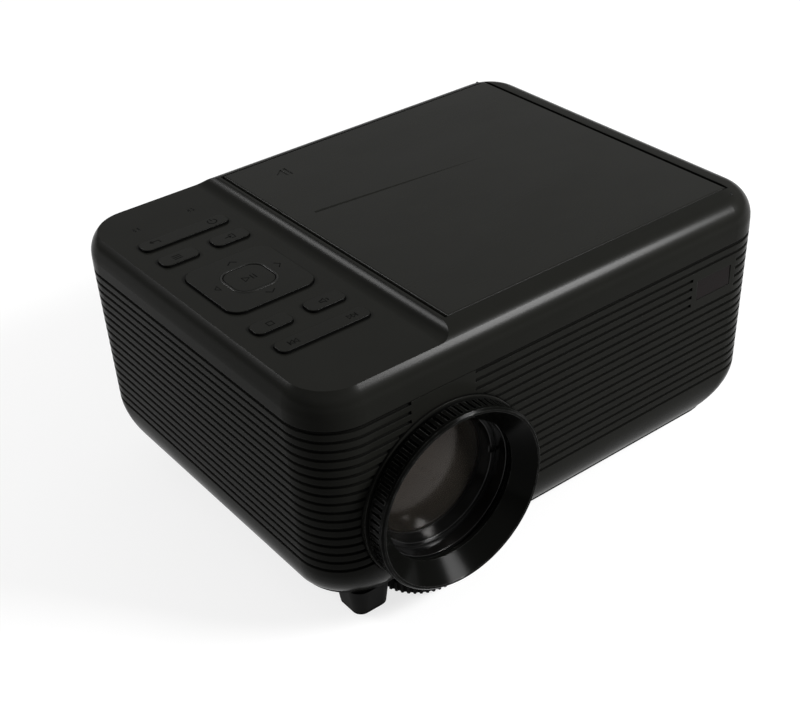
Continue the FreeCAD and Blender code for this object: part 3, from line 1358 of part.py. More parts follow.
def make_port_plate():
    """The plate across the rear opening, with the socket of the power switch behind it."""
    gap = size.plate_gap
    plate = box(size.plate_left + gap, port_back, size.plate_low + gap,
                size.plate_right - size.plate_left - gap * 2, port_wall,
                size.plate_high - size.plate_low - gap * 2)
    edge = size.port_skin * 2
    socket_wide = size.switch_width + edge * 2
    socket_high = size.switch_height + edge * 2
    socket = box(size.switch_x - socket_wide / 2, plate_face - size.jack_depth, port_z - socket_high / 2,
                 socket_wide, size.jack_depth - port_wall / 2, socket_high)
    socket_bore = box(size.switch_x - size.switch_width / 2, plate_face - size.jack_depth + edge,
                      port_z - size.switch_height / 2, size.switch_width, size.jack_depth, size.switch_height)
    return cut(fuse(plate, socket), socket_bore, *port_mouths())


def make_power_switch():
    """The rocker: a flattened drum with a shallow V across its face."""
    gap = size.plate_gap
    radius = size.switch_width / 2 - gap
    middle = plate_face - size.wall
    low = port_z - size.switch_height / 2 + gap
    high = size.switch_height - gap * 2
    drum = rod(size.switch_x, middle, low, radius, high)
    face = box(size.switch_x - radius, middle - size.switch_travel, low, radius * 2,
               size.switch_travel * 2, high)
    valley = rod(size.switch_x, middle + size.switch_travel + radius * 2, low,
                 radius * 2 + size.port_skin, high)
    return cut(common(drum, face), valley)


def jack_block(x, wide, high):
    """A jack's body on the main board, up to the back of the plate."""
    edge = size.port_skin * 2
    return box(x - wide / 2 - edge, port_back - size.jack_depth, board_top, wide + edge * 2,
               size.jack_depth, port_z - board_top + high / 2 + edge)


def make_power_jack():
    body = jack_block(size.power_x, size.power_radius * 2, size.power_radius * 2)
    bore = rod(size.power_x, port_back - size.jack_depth + size.port_skin * 2, port_z, size.power_radius,
               size.jack_depth, "y")
    pin = rod(size.power_x, port_back - size.jack_depth + size.port_skin, port_z, size.power_pin,
              size.jack_depth - size.port_skin, "y")
    return fuse(cut(body, bore), pin)


def make_signal_jacks():
    """A data jack, a video jack and two round audio jacks."""
    jacks = []
    for x, wide, high in ((size.serial_x, size.serial_width, size.serial_height),
                          (size.video_x, size.video_width, size.video_height)):
        mouth = box(x - wide / 2, port_back - size.jack_depth + size.port_skin * 2, port_z - high / 2, wide,
                    size.jack_depth, high)
        tongue = box(x - wide / 2 + size.port_skin * 2, port_back - size.jack_depth + size.port_skin,
                     port_z - size.port_skin, wide - size.port_skin * 4, size.jack_depth - size.wall,
                     size.port_skin * 2)
        jacks.append(fuse(cut(jack_block(x, wide, high), mouth), tongue))
    for x in (size.audio_x, size.audio_x + size.audio_pitch):
        body = jack_block(x, size.audio_radius * 2 - size.port_skin * 2, size.audio_radius * 2)
        collar = rod(x, port_back - port_wall, port_z, size.audio_radius - size.plate_gap,
                     port_wall * 2, "y")
        bore = rod(x, port_back - size.jack_depth + size.port_skin * 2, port_z, size.audio_bore,
                   size.jack_depth * 2, "y")
        jacks.append(cut(fuse(body, collar), bore))
    return group(*jacks)


# ---- window of the receiver ------------------------------------------------------------------

window_low = window_z - size.window_height / 2
window_face = slope * (split - window_low) - half_depth + size.window_gap / 2
window_flange = window_face + size.wall + size.window_gap
window_back = window_flange + size.flange_wall


def make_ir_window():
    pane = box(size.window_x - size.window_width / 2, window_face, window_low, size.window_width,
               size.wall + size.window_gap, size.window_height)
    rim = size.window_margin
    flange = box(size.window_x - size.window_width / 2 - rim, window_flange, window_low - rim,
                 size.window_width + rim * 2, size.flange_wall, size.window_height + rim * 2)
    return fuse(pane, flange)


# ---- feet and fasteners ----------------------------------------------------------------------

def make_rubber_feet():
    """An oblong pad beside the levelling foot, and three round feet at the other corners."""
    block = body_named("FrontPad")
    sketch = sketch_on(block, "XY_Plane")
    left = size.lens_x - size.pad_left
    front = size.pad_inset - half_depth
    round_rectangle(sketch, left, left + size.pad_width, front, front + size.pad_depth, size.pad_round)
    pad(block, sketch, size.foot_height, draft=size.pad_draft)
    side = half_length - size.round_foot_side_inset
    rear = half_depth - size.round_foot_rear_inset
    places = [(-side, rear), (side, rear), (side, size.round_foot_front_inset - half_depth)]
    rounds = [taper(x, y, 0, size.round_foot_radius, size.round_foot_top, size.foot_height)
              for x, y in places]
    return group(block, *rounds)


def make_foot_wheel():
    """The knurled wheel that drives the stud up and down."""
    wheel = rod(size.lens_x, wheel_y, size.wheel_low, size.wheel_radius, size.wheel_width)
    hub = rod(size.lens_x, wheel_y, size.wheel_low, size.wheel_hub,
              size.wheel_width + size.wheel_hub_rise)
    bore = rod(size.lens_x, wheel_y, 0, size.stud_radius + size.stud_fit, size.height)
    notches = []
    for number in range(notch_count):
        angle = math.radians(number * 360 / notch_count)
        notches.append(rod(size.lens_x + size.wheel_radius * round(math.cos(angle), 6),
                           size.wheel_radius * round(math.sin(angle), 6) + wheel_y,
                           0, size.notch_depth, size.height))
    return cut(fuse(wheel, hub), bore, *notches)


def make_foot_stud():
    stud = rod(size.lens_x, wheel_y, size.foot_pad_wall, size.stud_radius, size.stud_length)
    tread = rod(size.lens_x, wheel_y, 0, size.foot_pad, size.foot_pad_wall)
    return fuse(stud, tread)


def make_foot_bush():
    bush = rod(size.lens_x, wheel_y, size.foot_height, size.bush_radius,
               size.base_wall + size.bush_height)
    lip = rod(size.lens_x, wheel_y, belly, size.bush_flange, size.bush_lip)
    bore = rod(size.lens_x, wheel_y, 0, size.stud_radius + size.stud_fit, size.height)
    return cut(fuse(bush, lip), bore)


def make_tripod_insert():
    barrel = rod(size.insert_x, 0, size.foot_height, size.insert_radius, size.insert_height)
    lip = rod(size.insert_x, 0, belly, size.insert_flange, size.bush_lip)
    thread = rod(size.insert_x, 0, 0, size.thread_radius,
                 size.foot_height + size.insert_height - size.bush_lip)
    return cut(fuse(barrel, lip), thread)


def make_base_screws():
    screws = []
    for x, y in base_screw_places():
        shank = rod(x, y, size.foot_height, size.screw_hole - size.pin_fit, size.screw_length)
        head = rod(x, y, size.foot_height, size.screw_head, size.screw_head_wall)
        slot = box(x - size.screw_head, y - size.port_skin / 2, size.foot_height - size.wall,
                   size.screw_head * 2, size.port_skin, size.wall + size.port_skin)
        screws.append(cut(fuse(shank, head), slot))
    return group(*screws)


# ---- the pieces ------------------------------------------------------------------------------

latch_case, latch_plunger = make_latch()
node("housing", make_housing())
node("top_cover", make_top_cover())
node("base_cover", make_base_cover())
node("disc_lid", make_disc_lid())
node("hinge_pins", make_hinge_pins())
node("latch_case", latch_case)
node("latch_plunger", latch_plunger)
for key_name, x, y, wide, deep in key_places():
    node(key_name, key_cap(key_name, x, y, wide, deep, size.key_corner, flange_top, [(x, y)]))
node("nav_pad", make_nav_pad())
node("centre_key", make_centre_key())
node("dome_sheet", make_dome_sheet())
node("key_board", make_key_board())
node("indicator_lights", make_indicator_lights())
node("disc_deck", make_disc_deck())
node("drive_chassis", make_drive_chassis())
node("guide_rods", make_guide_rods())
node("lead_screw", make_lead_screw())
node("feed_motor", make_feed_motor())
node("pickup_sled", make_pickup_sled())
node("spindle_motor", make_spindle_motor())
node("turntable", make_turntable())
node("deck_dampers", make_deck_dampers())
node("disc_board", make_disc_board())
node("focus_ring", make_focus_ring())
node("lens_bezel", make_lens_bezel())
node("lens_mount", make_lens_mount())
node("lens_cell", make_lens_cell())
node("lens_retainer", make_lens_retainer())
node("front_lens", make_front_lens())
node("rear_lens", make_rear_lens())
node("engine_box", make_engine_box())
node("engine_cover", make_engine_cover())
node("lcd_frame", make_lcd_frame())
node("lcd_panel", make_lcd_panel())
node("light_plates", make_light_plates())
node("condenser_lens", make_condenser_lens())
node("led_module", make_led_module())
node("heatsink", make_heatsink())
node("fan_frame", make_fan_frame())
node("fan_rotor", make_fan_rotor())
node("main_board", make_main_board())
node("board_parts", make_board_parts())
node("speakers", make_speakers())
node("speaker_cones", make_speaker_cones())
node("port_plate", make_port_plate())
node("power_switch", make_power_switch())
node("power_jack", make_power_jack())
node("signal_jacks", make_signal_jacks())
node("ir_window", make_ir_window())
node("rubber_feet", make_rubber_feet())
node("foot_wheel", make_foot_wheel())
node("foot_stud", make_foot_stud())
node("foot_bush", make_foot_bush())
node("tripod_insert", make_tripod_insert())
node("base_screws", make_base_screws())
doc.recompute()

faults = [item.Label for item in doc.Objects if "Invalid" in item.State or "Error" in item.State]
for solid in nodes:
    if solid.Shape.isNull() or not solid.Shape.isValid():
        faults.append(solid.Label)
if faults:
    raise RuntimeError("pieces that could not be built: " + ", ".join(faults))
for solid in nodes:
    solid.Shape.exportStep(os.path.join("parts", solid.Label + ".step"))
    extent = solid.Shape.BoundBox
    print(f"{solid.Label}: {len(solid.Shape.Solids)} solids, {extent.XLength:.1f} x {extent.YLength:.1f} x "
          f"{extent.ZLength:.1f} mm")
print(f"{len(nodes)} pieces written")
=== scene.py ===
import bpy
import math
from mathutils import Matrix, Vector


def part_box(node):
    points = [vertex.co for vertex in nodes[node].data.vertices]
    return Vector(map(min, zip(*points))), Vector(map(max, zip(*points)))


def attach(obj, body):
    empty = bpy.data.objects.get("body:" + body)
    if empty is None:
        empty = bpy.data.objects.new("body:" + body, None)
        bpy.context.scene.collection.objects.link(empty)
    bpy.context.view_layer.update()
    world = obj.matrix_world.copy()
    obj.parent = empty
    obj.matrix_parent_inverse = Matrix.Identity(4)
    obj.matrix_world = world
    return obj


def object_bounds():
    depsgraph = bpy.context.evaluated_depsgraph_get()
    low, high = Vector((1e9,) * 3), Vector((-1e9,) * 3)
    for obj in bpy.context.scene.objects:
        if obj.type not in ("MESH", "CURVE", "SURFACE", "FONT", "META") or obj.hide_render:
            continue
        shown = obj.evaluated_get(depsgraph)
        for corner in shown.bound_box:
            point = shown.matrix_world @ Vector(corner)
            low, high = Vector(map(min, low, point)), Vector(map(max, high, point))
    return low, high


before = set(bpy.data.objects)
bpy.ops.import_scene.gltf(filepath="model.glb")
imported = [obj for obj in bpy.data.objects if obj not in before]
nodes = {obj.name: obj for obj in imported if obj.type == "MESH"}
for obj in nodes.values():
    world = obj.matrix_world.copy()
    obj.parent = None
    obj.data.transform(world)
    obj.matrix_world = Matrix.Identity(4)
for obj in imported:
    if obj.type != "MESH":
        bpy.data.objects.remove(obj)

cadLow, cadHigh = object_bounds()
print("frame loaded:", len(nodes), "nodes")

# helpers that build and join shader nodes


def newGroup(name, inputs, outputs):
    group = bpy.data.node_groups.new(name, "ShaderNodeTree")
    for label, kind, value in inputs:
        socket = group.interface.new_socket(label, in_out="INPUT", socket_type=kind)
        socket.default_value = value
    for label, kind in outputs:
        group.interface.new_socket(label, in_out="OUTPUT", socket_type=kind)
    return group, group.nodes.new("NodeGroupInput"), group.nodes.new("NodeGroupOutput")


def mathNode(tree, operation, first, second=None, clamp=False):
    node = tree.nodes.new("ShaderNodeMath")
    node.operation = operation
    node.use_clamp = clamp
    for socket, value in zip(node.inputs, (first, second)):
        if value is None:
            continue
        if hasattr(value, "is_output"):
            tree.links.new(value, socket)
        else:
            socket.default_value = value
    return node.outputs[0]


def noiseNode(tree, vector, scale, detail, roughness=0.5):
    node = tree.nodes.new("ShaderNodeTexNoise")
    tree.links.new(vector, node.inputs["Vector"])
    if hasattr(scale, "is_output"):
        tree.links.new(scale, node.inputs["Scale"])
    else:
        node.inputs["Scale"].default_value = scale
    node.inputs["Detail"].default_value = detail
    node.inputs["Roughness"].default_value = roughness
    return node.outputs["Fac"]


def rangeNode(tree, value, fromLow, fromHigh, toLow, toHigh):
    node = tree.nodes.new("ShaderNodeMapRange")
    tree.links.new(value, node.inputs["Value"])
    for label, number in (("From Min", fromLow), ("From Max", fromHigh), ("To Min", toLow), ("To Max", toHigh)):
        if hasattr(number, "is_output"):
            tree.links.new(number, node.inputs[label])
        else:
            node.inputs[label].default_value = number
    return node.outputs["Result"]


def objectPlace(tree):
    return tree.nodes.new("ShaderNodeTexCoord").outputs["Object"]


def upwardness(tree):
    # 1 on faces that look up, 0 on upright walls
    split = tree.nodes.new("ShaderNodeSeparateXYZ")
    tree.links.new(tree.nodes.new("ShaderNodeTexCoord").outputs["Normal"], split.inputs["Vector"])
    return split.outputs["Z"]


grainSettings = {"scale": 2500.0, "swell": 60.0, "fineDetail": 2.0, "fineRoughness": 0.6, "slowDetail": 3.0,
                 "fineShare": 0.8, "slowShare": 0.2}


def buildFineGrain(s):
    # spark-eroded mould texture: fine pits over a slow swell
    entries = [("Scale", "NodeSocketFloat", s["scale"]), ("Swell", "NodeSocketFloat", s["swell"])]
    group, inside, out = newGroup("fineGrain", entries, [("Height", "NodeSocketFloat"), ("Tone", "NodeSocketFloat")])
    place = objectPlace(group)
    fine = noiseNode(group, place, inside.outputs["Scale"], s["fineDetail"], s["fineRoughness"])
    slow = noiseNode(group, place, inside.outputs["Swell"], s["slowDetail"])
    pits = mathNode(group, "MULTIPLY", fine, s["fineShare"])
    waves = mathNode(group, "MULTIPLY", slow, s["slowShare"])
    group.links.new(mathNode(group, "ADD", pits, waves), out.inputs["Height"])
    group.links.new(slow, out.inputs["Tone"])
    return group


wearAndGlintSettings = {"radius": 0.0004, "breakup": 300.0, "samples": 6, "flat": 0.98, "sharp": 0.75, "chipDetail": 4.0,
                "chipRoughness": 0.7, "chipLow": 0.35, "chipHigh": 0.7}


def buildEdgeWearAndGlint(s):
    # where the rounded normal leaves the flat one there is an edge, broken up by noise
    entries = [("Radius", "NodeSocketFloat", s["radius"]), ("Breakup", "NodeSocketFloat", s["breakup"])]
    group, inside, out = newGroup("edgeWearAndGlint", entries, [("Mask", "NodeSocketFloat"), ("Normal", "NodeSocketVector")])
    bevel = group.nodes.new("ShaderNodeBevel")
    bevel.samples = s["samples"]
    group.links.new(inside.outputs["Radius"], bevel.inputs["Radius"])
    geometry = group.nodes.new("ShaderNodeNewGeometry")
    dot = group.nodes.new("ShaderNodeVectorMath")
    dot.operation = "DOT_PRODUCT"
    group.links.new(bevel.outputs["Normal"], dot.inputs[0])
    group.links.new(geometry.outputs["Normal"], dot.inputs[1])
    edge = rangeNode(group, dot.outputs["Value"], s["flat"], s["sharp"], 0.0, 1.0)
    speckle = noiseNode(group, objectPlace(group), inside.outputs["Breakup"], s["chipDetail"], s["chipRoughness"])
    chips = rangeNode(group, speckle, s["chipLow"], s["chipHigh"], 0.0, 1.0)
    group.links.new(mathNode(group, "MULTIPLY", edge, chips, True), out.inputs["Mask"])
    group.links.new(bevel.outputs["Normal"], out.inputs["Normal"])
    return group


smudgeSettings = {"scale": 14.0, "turn": (0.3, 0.2, 0.7), "stretch": (1.0, 2.6, 1.4), "detail": 5.0,
                  "roughness": 0.55, "low": 0.35, "high": 0.68}


def buildSmudge(s):
    # handling marks: long soft streaks
    group, inside, out = newGroup("smudge", [("Scale", "NodeSocketFloat", s["scale"])], [("Mask", "NodeSocketFloat")])
    stretch = group.nodes.new("ShaderNodeMapping")
    stretch.inputs["Rotation"].default_value = s["turn"]
    stretch.inputs["Scale"].default_value = s["stretch"]
    group.links.new(objectPlace(group), stretch.inputs["Vector"])
    broad = noiseNode(group, stretch.outputs["Vector"], inside.outputs["Scale"], s["detail"], s["roughness"])
    group.links.new(rangeNode(group, broad, s["low"], s["high"], 0.0, 1.0), out.inputs["Mask"])
    return group


dustSettings = {"amount": 0.1, "slope": 0.5, "level": 1.0, "scale": 900.0, "detail": 3.0, "roughness": 0.8,
                "low": 0.62, "high": 0.8}


def buildDust(s):
    # pale specks that settle on upward faces
    group, inside, out = newGroup("dust", [("Amount", "NodeSocketFloat", s["amount"])], [("Mask", "NodeSocketFloat")])
    settled = rangeNode(group, upwardness(group), s["slope"], s["level"], 0.0, 1.0)
    speckle = noiseNode(group, objectPlace(group), s["scale"], s["detail"], s["roughness"])
    shown = mathNode(group, "MULTIPLY", settled, rangeNode(group, speckle, s["low"], s["high"], 0.0, 1.0))
    group.links.new(mathNode(group, "MULTIPLY", shown, inside.outputs["Amount"], True), out.inputs["Mask"])
    return group


creviceShadeSettings = {"reach": 0.0016, "samples": 6, "closed": 0.45, "open": 0.95}


def buildCreviceShade(s):
    # painted shade: grooves and gaps darkened by ambient occlusion, standing in for the little light that reaches them
    group, inside, out = newGroup("creviceShade", [("Reach", "NodeSocketFloat", s["reach"])], [("Mask", "NodeSocketFloat")])
    hollow = group.nodes.new("ShaderNodeAmbientOcclusion")
    hollow.samples = s["samples"]
    group.links.new(inside.outputs["Reach"], hollow.inputs["Distance"])
    group.links.new(rangeNode(group, hollow.outputs["AO"], s["closed"], s["open"], 1.0, 0.0), out.inputs["Mask"])
    return group


effects = {
    "grain": buildFineGrain(grainSettings),
    "wearAndGlint": buildEdgeWearAndGlint(wearAndGlintSettings),
    "smudge": buildSmudge(smudgeSettings),
    "dust": buildDust(dustSettings),
    "creviceShade": buildCreviceShade(creviceShadeSettings),
}
print("effects built:", len(effects))


def placeGroup(tree, name, **values):
    node = tree.nodes.new("ShaderNodeGroup")
    node.node_tree = effects[name]
    for label, value in values.items():
        node.inputs[label].default_value = value
    return node


def mixColour(tree, mask, first, second):
    node = tree.nodes.new("ShaderNodeMix")
    node.data_type = "RGBA"
    tree.links.new(mask, node.inputs[0])
    for socket, value in ((node.inputs[6], first), (node.inputs[7], second)):
        if hasattr(value, "is_output"):
            tree.links.new(value, socket)
        else:
            socket.default_value = (*value, 1.0)
    return node.outputs[2]


# lengths in metres; a finish states only what differs from this one
plainFinish = {
    "colour": (0.01, 0.01, 0.01), "shade": (0.008, 0.008, 0.008), "wornAndGlint": (0.03, 0.03, 0.03),
    # the dark colour for grooves and gaps on the next line is painted shade
    "dustColour": (0.12, 0.115, 0.105), "dust": 0.25, "creviceShadeColour": (0.0012, 0.0012, 0.0011), "creviceShade": 0.0016,
    "creviceDull": 0.5, "sides": None, "sideSlopes": (0.3, 0.8),
    "roughness": (0.4, 0.5), "smudge": 14.0, "specular": 0.5, "specularTint": (1.0, 1.0, 1.0), "metallic": 0.0,
    "coat": 0.0, "coatRoughness": 0.1, "polishedTops": False, "topSlopes": (0.15, 0.50), "edgeShine": 0.0,
    "grain": 2500.0, "depth": 0.00002, "bump": 0.15, "edge": 0.0003, "transmission": 0.0, "ior": 1.5,
}


def makeFinish(name, **changes):
    s = {**plainFinish, **changes}
    material = bpy.data.materials.new(name)
    material.use_nodes = True
    tree = material.node_tree
    shader = tree.nodes["Principled BSDF"]
    grain = placeGroup(tree, "grain", Scale=s["grain"])
    wearAndGlint = placeGroup(tree, "wearAndGlint", Radius=s["edge"])
    smudge = placeGroup(tree, "smudge", Scale=s["smudge"])
    dust = placeGroup(tree, "dust", Amount=s["dust"])
    colour = mixColour(tree, grain.outputs["Tone"], s["shade"], s["colour"])
    # edge colour: rubbed edges on most parts, a painted glint on the focus ring's teeth and rims
    colour = mixColour(tree, wearAndGlint.outputs["Mask"], colour, s["wornAndGlint"])
    colour = mixColour(tree, dust.outputs["Mask"], colour, s["dustColour"])
    # painted shade: grooves and gaps darkened by ambient occlusion; the same mask dulls their roughness
    creviceShade = placeGroup(tree, "creviceShade", Reach=s["creviceShade"])
    colour = mixColour(tree, creviceShade.outputs["Mask"], colour, s["creviceShadeColour"])
    if s["sides"]:
        # painted shade: upright walls darkened, standing in for the shade in the narrow gaps
        sideShadeMask = rangeNode(tree, upwardness(tree), *s["sideSlopes"], 1.0, 0.0)
        colour = mixColour(tree, sideShadeMask, colour, s["sides"])
    tree.links.new(colour, shader.inputs["Base Color"])
    low, high = s["roughness"]
    handled = rangeNode(tree, smudge.outputs["Mask"], 0.0, 1.0, low, high)
    dull = mathNode(tree, "MULTIPLY", creviceShade.outputs["Mask"], s["creviceDull"])
    tree.links.new(mathNode(tree, "ADD", handled, dull, True), shader.inputs["Roughness"])
    bump = tree.nodes.new("ShaderNodeBump")
    bump.inputs["Strength"].default_value = s["bump"]
    bump.inputs["Distance"].default_value = s["depth"]
    tree.links.new(grain.outputs["Height"], bump.inputs["Height"])
    tree.links.new(wearAndGlint.outputs["Normal"], bump.inputs["Normal"])
    tree.links.new(bump.outputs["Normal"], shader.inputs["Normal"])
    shader.inputs["Specular IOR Level"].default_value = s["specular"]
    shader.inputs["Metallic"].default_value = s["metallic"]
    if s["polishedTops"] or s["edgeShine"]:
        shine = mathNode(tree, "MULTIPLY", wearAndGlint.outputs["Mask"], s["edgeShine"])
        if s["polishedTops"]:
            # upper faces come smoother from the mould than upright walls
            tops = rangeNode(tree, upwardness(tree), *s["topSlopes"], 0.0, s["coat"])
            shine = mathNode(tree, "MAXIMUM", shine, tops)
        tree.links.new(shine, shader.inputs["Coat Weight"])
    else:
        shader.inputs["Coat Weight"].default_value = s["coat"]
    shader.inputs["Coat Roughness"].default_value = s["coatRoughness"]
    shader.inputs["Transmission Weight"].default_value = s["transmission"]
    shader.inputs["IOR"].default_value = s["ior"]
    shader.inputs["Specular Tint"].default_value = (*s["specularTint"], 1.0)
    return material


finishes = {
    "casing": dict(colour=(0.0108, 0.0109, 0.0094), shade=(0.0087, 0.0088, 0.0077), wornAndGlint=(0.020, 0.020, 0.018),
                   roughness=(0.22, 0.27), specular=0.016, coat=0.085, coatRoughness=0.24, polishedTops=True,
                   grain=4200.0, edge=0.00035, dust=0.03, bump=0.03),
    "lid": dict(colour=(0.0112, 0.0113, 0.0098), shade=(0.0096, 0.0097, 0.0084), wornAndGlint=(0.020, 0.020, 0.018),
                roughness=(0.24, 0.30), specular=0.068, grain=2600.0, edge=0.0004, edgeShine=0.8,
                coatRoughness=0.2, dust=0.04),
    # the keys' upright walls get a painted shade colour
    "keys": dict(colour=(0.0092, 0.0093, 0.0080), shade=(0.0076, 0.0077, 0.0066), wornAndGlint=(0.010, 0.010, 0.009),
                 sides=(0.0012, 0.0012, 0.0011), roughness=(0.28, 0.34), specular=0.06, grain=3000.0, edge=0.00012,
                 dust=0.05),
    "signs": dict(colour=(0.0030, 0.0030, 0.0028), shade=(0.0024, 0.0024, 0.0022), wornAndGlint=(0.004, 0.004, 0.004),
                  roughness=(0.40, 0.50), specular=0.02, grain=3000.0, bump=0.05, dust=0.02),
    "rim": dict(colour=(0.0130, 0.0131, 0.0118), shade=(0.0105, 0.0106, 0.0095), wornAndGlint=(0.016, 0.016, 0.015),
                roughness=(0.22, 0.28), specular=0.14, grain=3000.0, bump=0.05, dust=0.04),
    # the hood's edge colour is a painted glint, far lighter than its plastic
    "hood": dict(colour=(0.0032, 0.0033, 0.0029), shade=(0.0025, 0.0026, 0.0023), wornAndGlint=(0.085, 0.085, 0.080),
                 roughness=(0.15, 0.20), specular=0.018, edge=0.0006, edgeShine=0.9, coatRoughness=0.16, dust=0.03,
                 bump=0.04),
    "tube": dict(colour=(0.0030, 0.0030, 0.0030), shade=(0.0022, 0.0022, 0.0022), wornAndGlint=(0.020, 0.020, 0.019),
                 roughness=(0.10, 0.15), specular=0.32, edge=0.0006, dust=0.02, bump=0.03),
    "darkPlastic": dict(colour=(0.0080, 0.0080, 0.0075), shade=(0.0060, 0.0060, 0.0057), roughness=(0.45, 0.58),
                        wornAndGlint=(0.014, 0.014, 0.013), specular=0.10, dust=0.08),
    "baffle": dict(colour=(0.004, 0.004, 0.004), shade=(0.003, 0.003, 0.003), wornAndGlint=(0.006, 0.006, 0.006),
                   roughness=(0.5, 0.65), specular=0.06, dust=0.05),
    "steel": dict(colour=(0.52, 0.52, 0.53), shade=(0.42, 0.42, 0.43), wornAndGlint=(0.6, 0.6, 0.6), metallic=1.0,
                  roughness=(0.22, 0.38), grain=1400.0, bump=0.1),
    "aluminium": dict(colour=(0.7, 0.7, 0.71), shade=(0.6, 0.6, 0.61), wornAndGlint=(0.8, 0.8, 0.8), metallic=1.0,
                      roughness=(0.3, 0.45), grain=1800.0),
    "brass": dict(colour=(0.62, 0.43, 0.17), shade=(0.5, 0.34, 0.13), wornAndGlint=(0.8, 0.6, 0.3), metallic=1.0,
                  roughness=(0.22, 0.36)),
    "rubber": dict(colour=(0.0055, 0.0055, 0.0052), shade=(0.0042, 0.0042, 0.0040), roughness=(0.6, 0.75),
                   specular=0.06, grain=1500.0, depth=0.00005, bump=0.4, dust=0.4),
    "board": dict(colour=(0.012, 0.085, 0.030), shade=(0.008, 0.060, 0.022), wornAndGlint=(0.10, 0.16, 0.06),
                  roughness=(0.28, 0.4), grain=900.0, smudge=60.0),
    "components": dict(colour=(0.018, 0.018, 0.020), shade=(0.011, 0.011, 0.012), roughness=(0.4, 0.6)),
    "glass": dict(colour=(0.60, 0.56, 0.53), shade=(0.56, 0.52, 0.50), wornAndGlint=(0.6, 0.6, 0.6), roughness=(0.02, 0.05),
                  transmission=1.0, ior=1.35, bump=0.0, dust=0.02, specular=0.25),
    "frontGlass": dict(colour=(0.105, 0.092, 0.075), shade=(0.090, 0.080, 0.066), wornAndGlint=(0.2, 0.2, 0.2),
                       roughness=(0.14, 0.20), transmission=0.86, ior=1.3, bump=0.0, dust=0.02, specular=0.07,
                       specularTint=(1.0, 0.86, 0.78)),
    "clear": dict(colour=(0.0020, 0.0020, 0.0019), shade=(0.0015, 0.0015, 0.0014), wornAndGlint=(0.003, 0.003, 0.003),
                  roughness=(0.3, 0.4), specular=0.01, dust=0.01, transmission=0.2),
    "darkSteel": dict(colour=(0.030, 0.030, 0.031), shade=(0.022, 0.022, 0.023), wornAndGlint=(0.08, 0.08, 0.08), metallic=1.0,
                      roughness=(0.35, 0.5), grain=1400.0, bump=0.1),
    "window": dict(colour=(0.008, 0.006, 0.006), shade=(0.006, 0.005, 0.005), roughness=(0.24, 0.30), specular=0.03,
                   bump=0.03),
    "phosphor": dict(colour=(0.75, 0.62, 0.16), shade=(0.6, 0.5, 0.12), roughness=(0.4, 0.5)),
    "paper": dict(colour=(0.02, 0.018, 0.016), shade=(0.014, 0.013, 0.012), roughness=(0.8, 0.9), depth=0.0001,
                  bump=0.6),
}
made = {name: makeFinish(name, **values) for name, values in finishes.items()}

# which nodes take which finish
dressed = {
    "casing": ["housing", "top_cover"],
    "lid": ["disc_lid", "lens_bezel"],
    "hood": ["focus_ring"],
    "keys": ["rear_wide_key", "rear_left_key", "rear_right_key", "front_left_key", "front_right_key",
             "front_wide_key", "nav_pad", "centre_key", "power_switch"],
    "darkPlastic": ["base_cover", "latch_case", "latch_plunger", "disc_deck", "pickup_sled", "turntable", "port_plate",
                    "power_jack", "foot_stud", "fan_frame", "fan_rotor"],
    "baffle": ["lens_mount", "engine_box", "engine_cover", "lcd_frame", "foot_wheel"],
    "tube": ["lens_cell", "lens_retainer"],
    "darkSteel": ["hinge_pins"],
    "steel": ["drive_chassis", "guide_rods", "lead_screw", "feed_motor", "spindle_motor", "speakers",
              "signal_jacks", "base_screws"],
    "aluminium": ["heatsink"],
    "brass": ["foot_bush", "tripod_insert"],
    "rubber": ["dome_sheet", "deck_dampers", "rubber_feet"],
    "board": ["key_board", "disc_board", "main_board"],
    "components": ["board_parts"],
    "frontGlass": ["front_lens"],
    "glass": ["rear_lens", "light_plates", "condenser_lens", "lcd_panel"],
    "clear": ["indicator_lights"],
    "window": ["ir_window"],
    "phosphor": ["led_module"],
    "paper": ["speaker_cones"],
}
for finish, names in dressed.items():
    for name in names:
        mesh = nodes[name].data
        mesh.materials.clear()
        mesh.materials.append(made[finish])
print("finishes placed:", len(made))

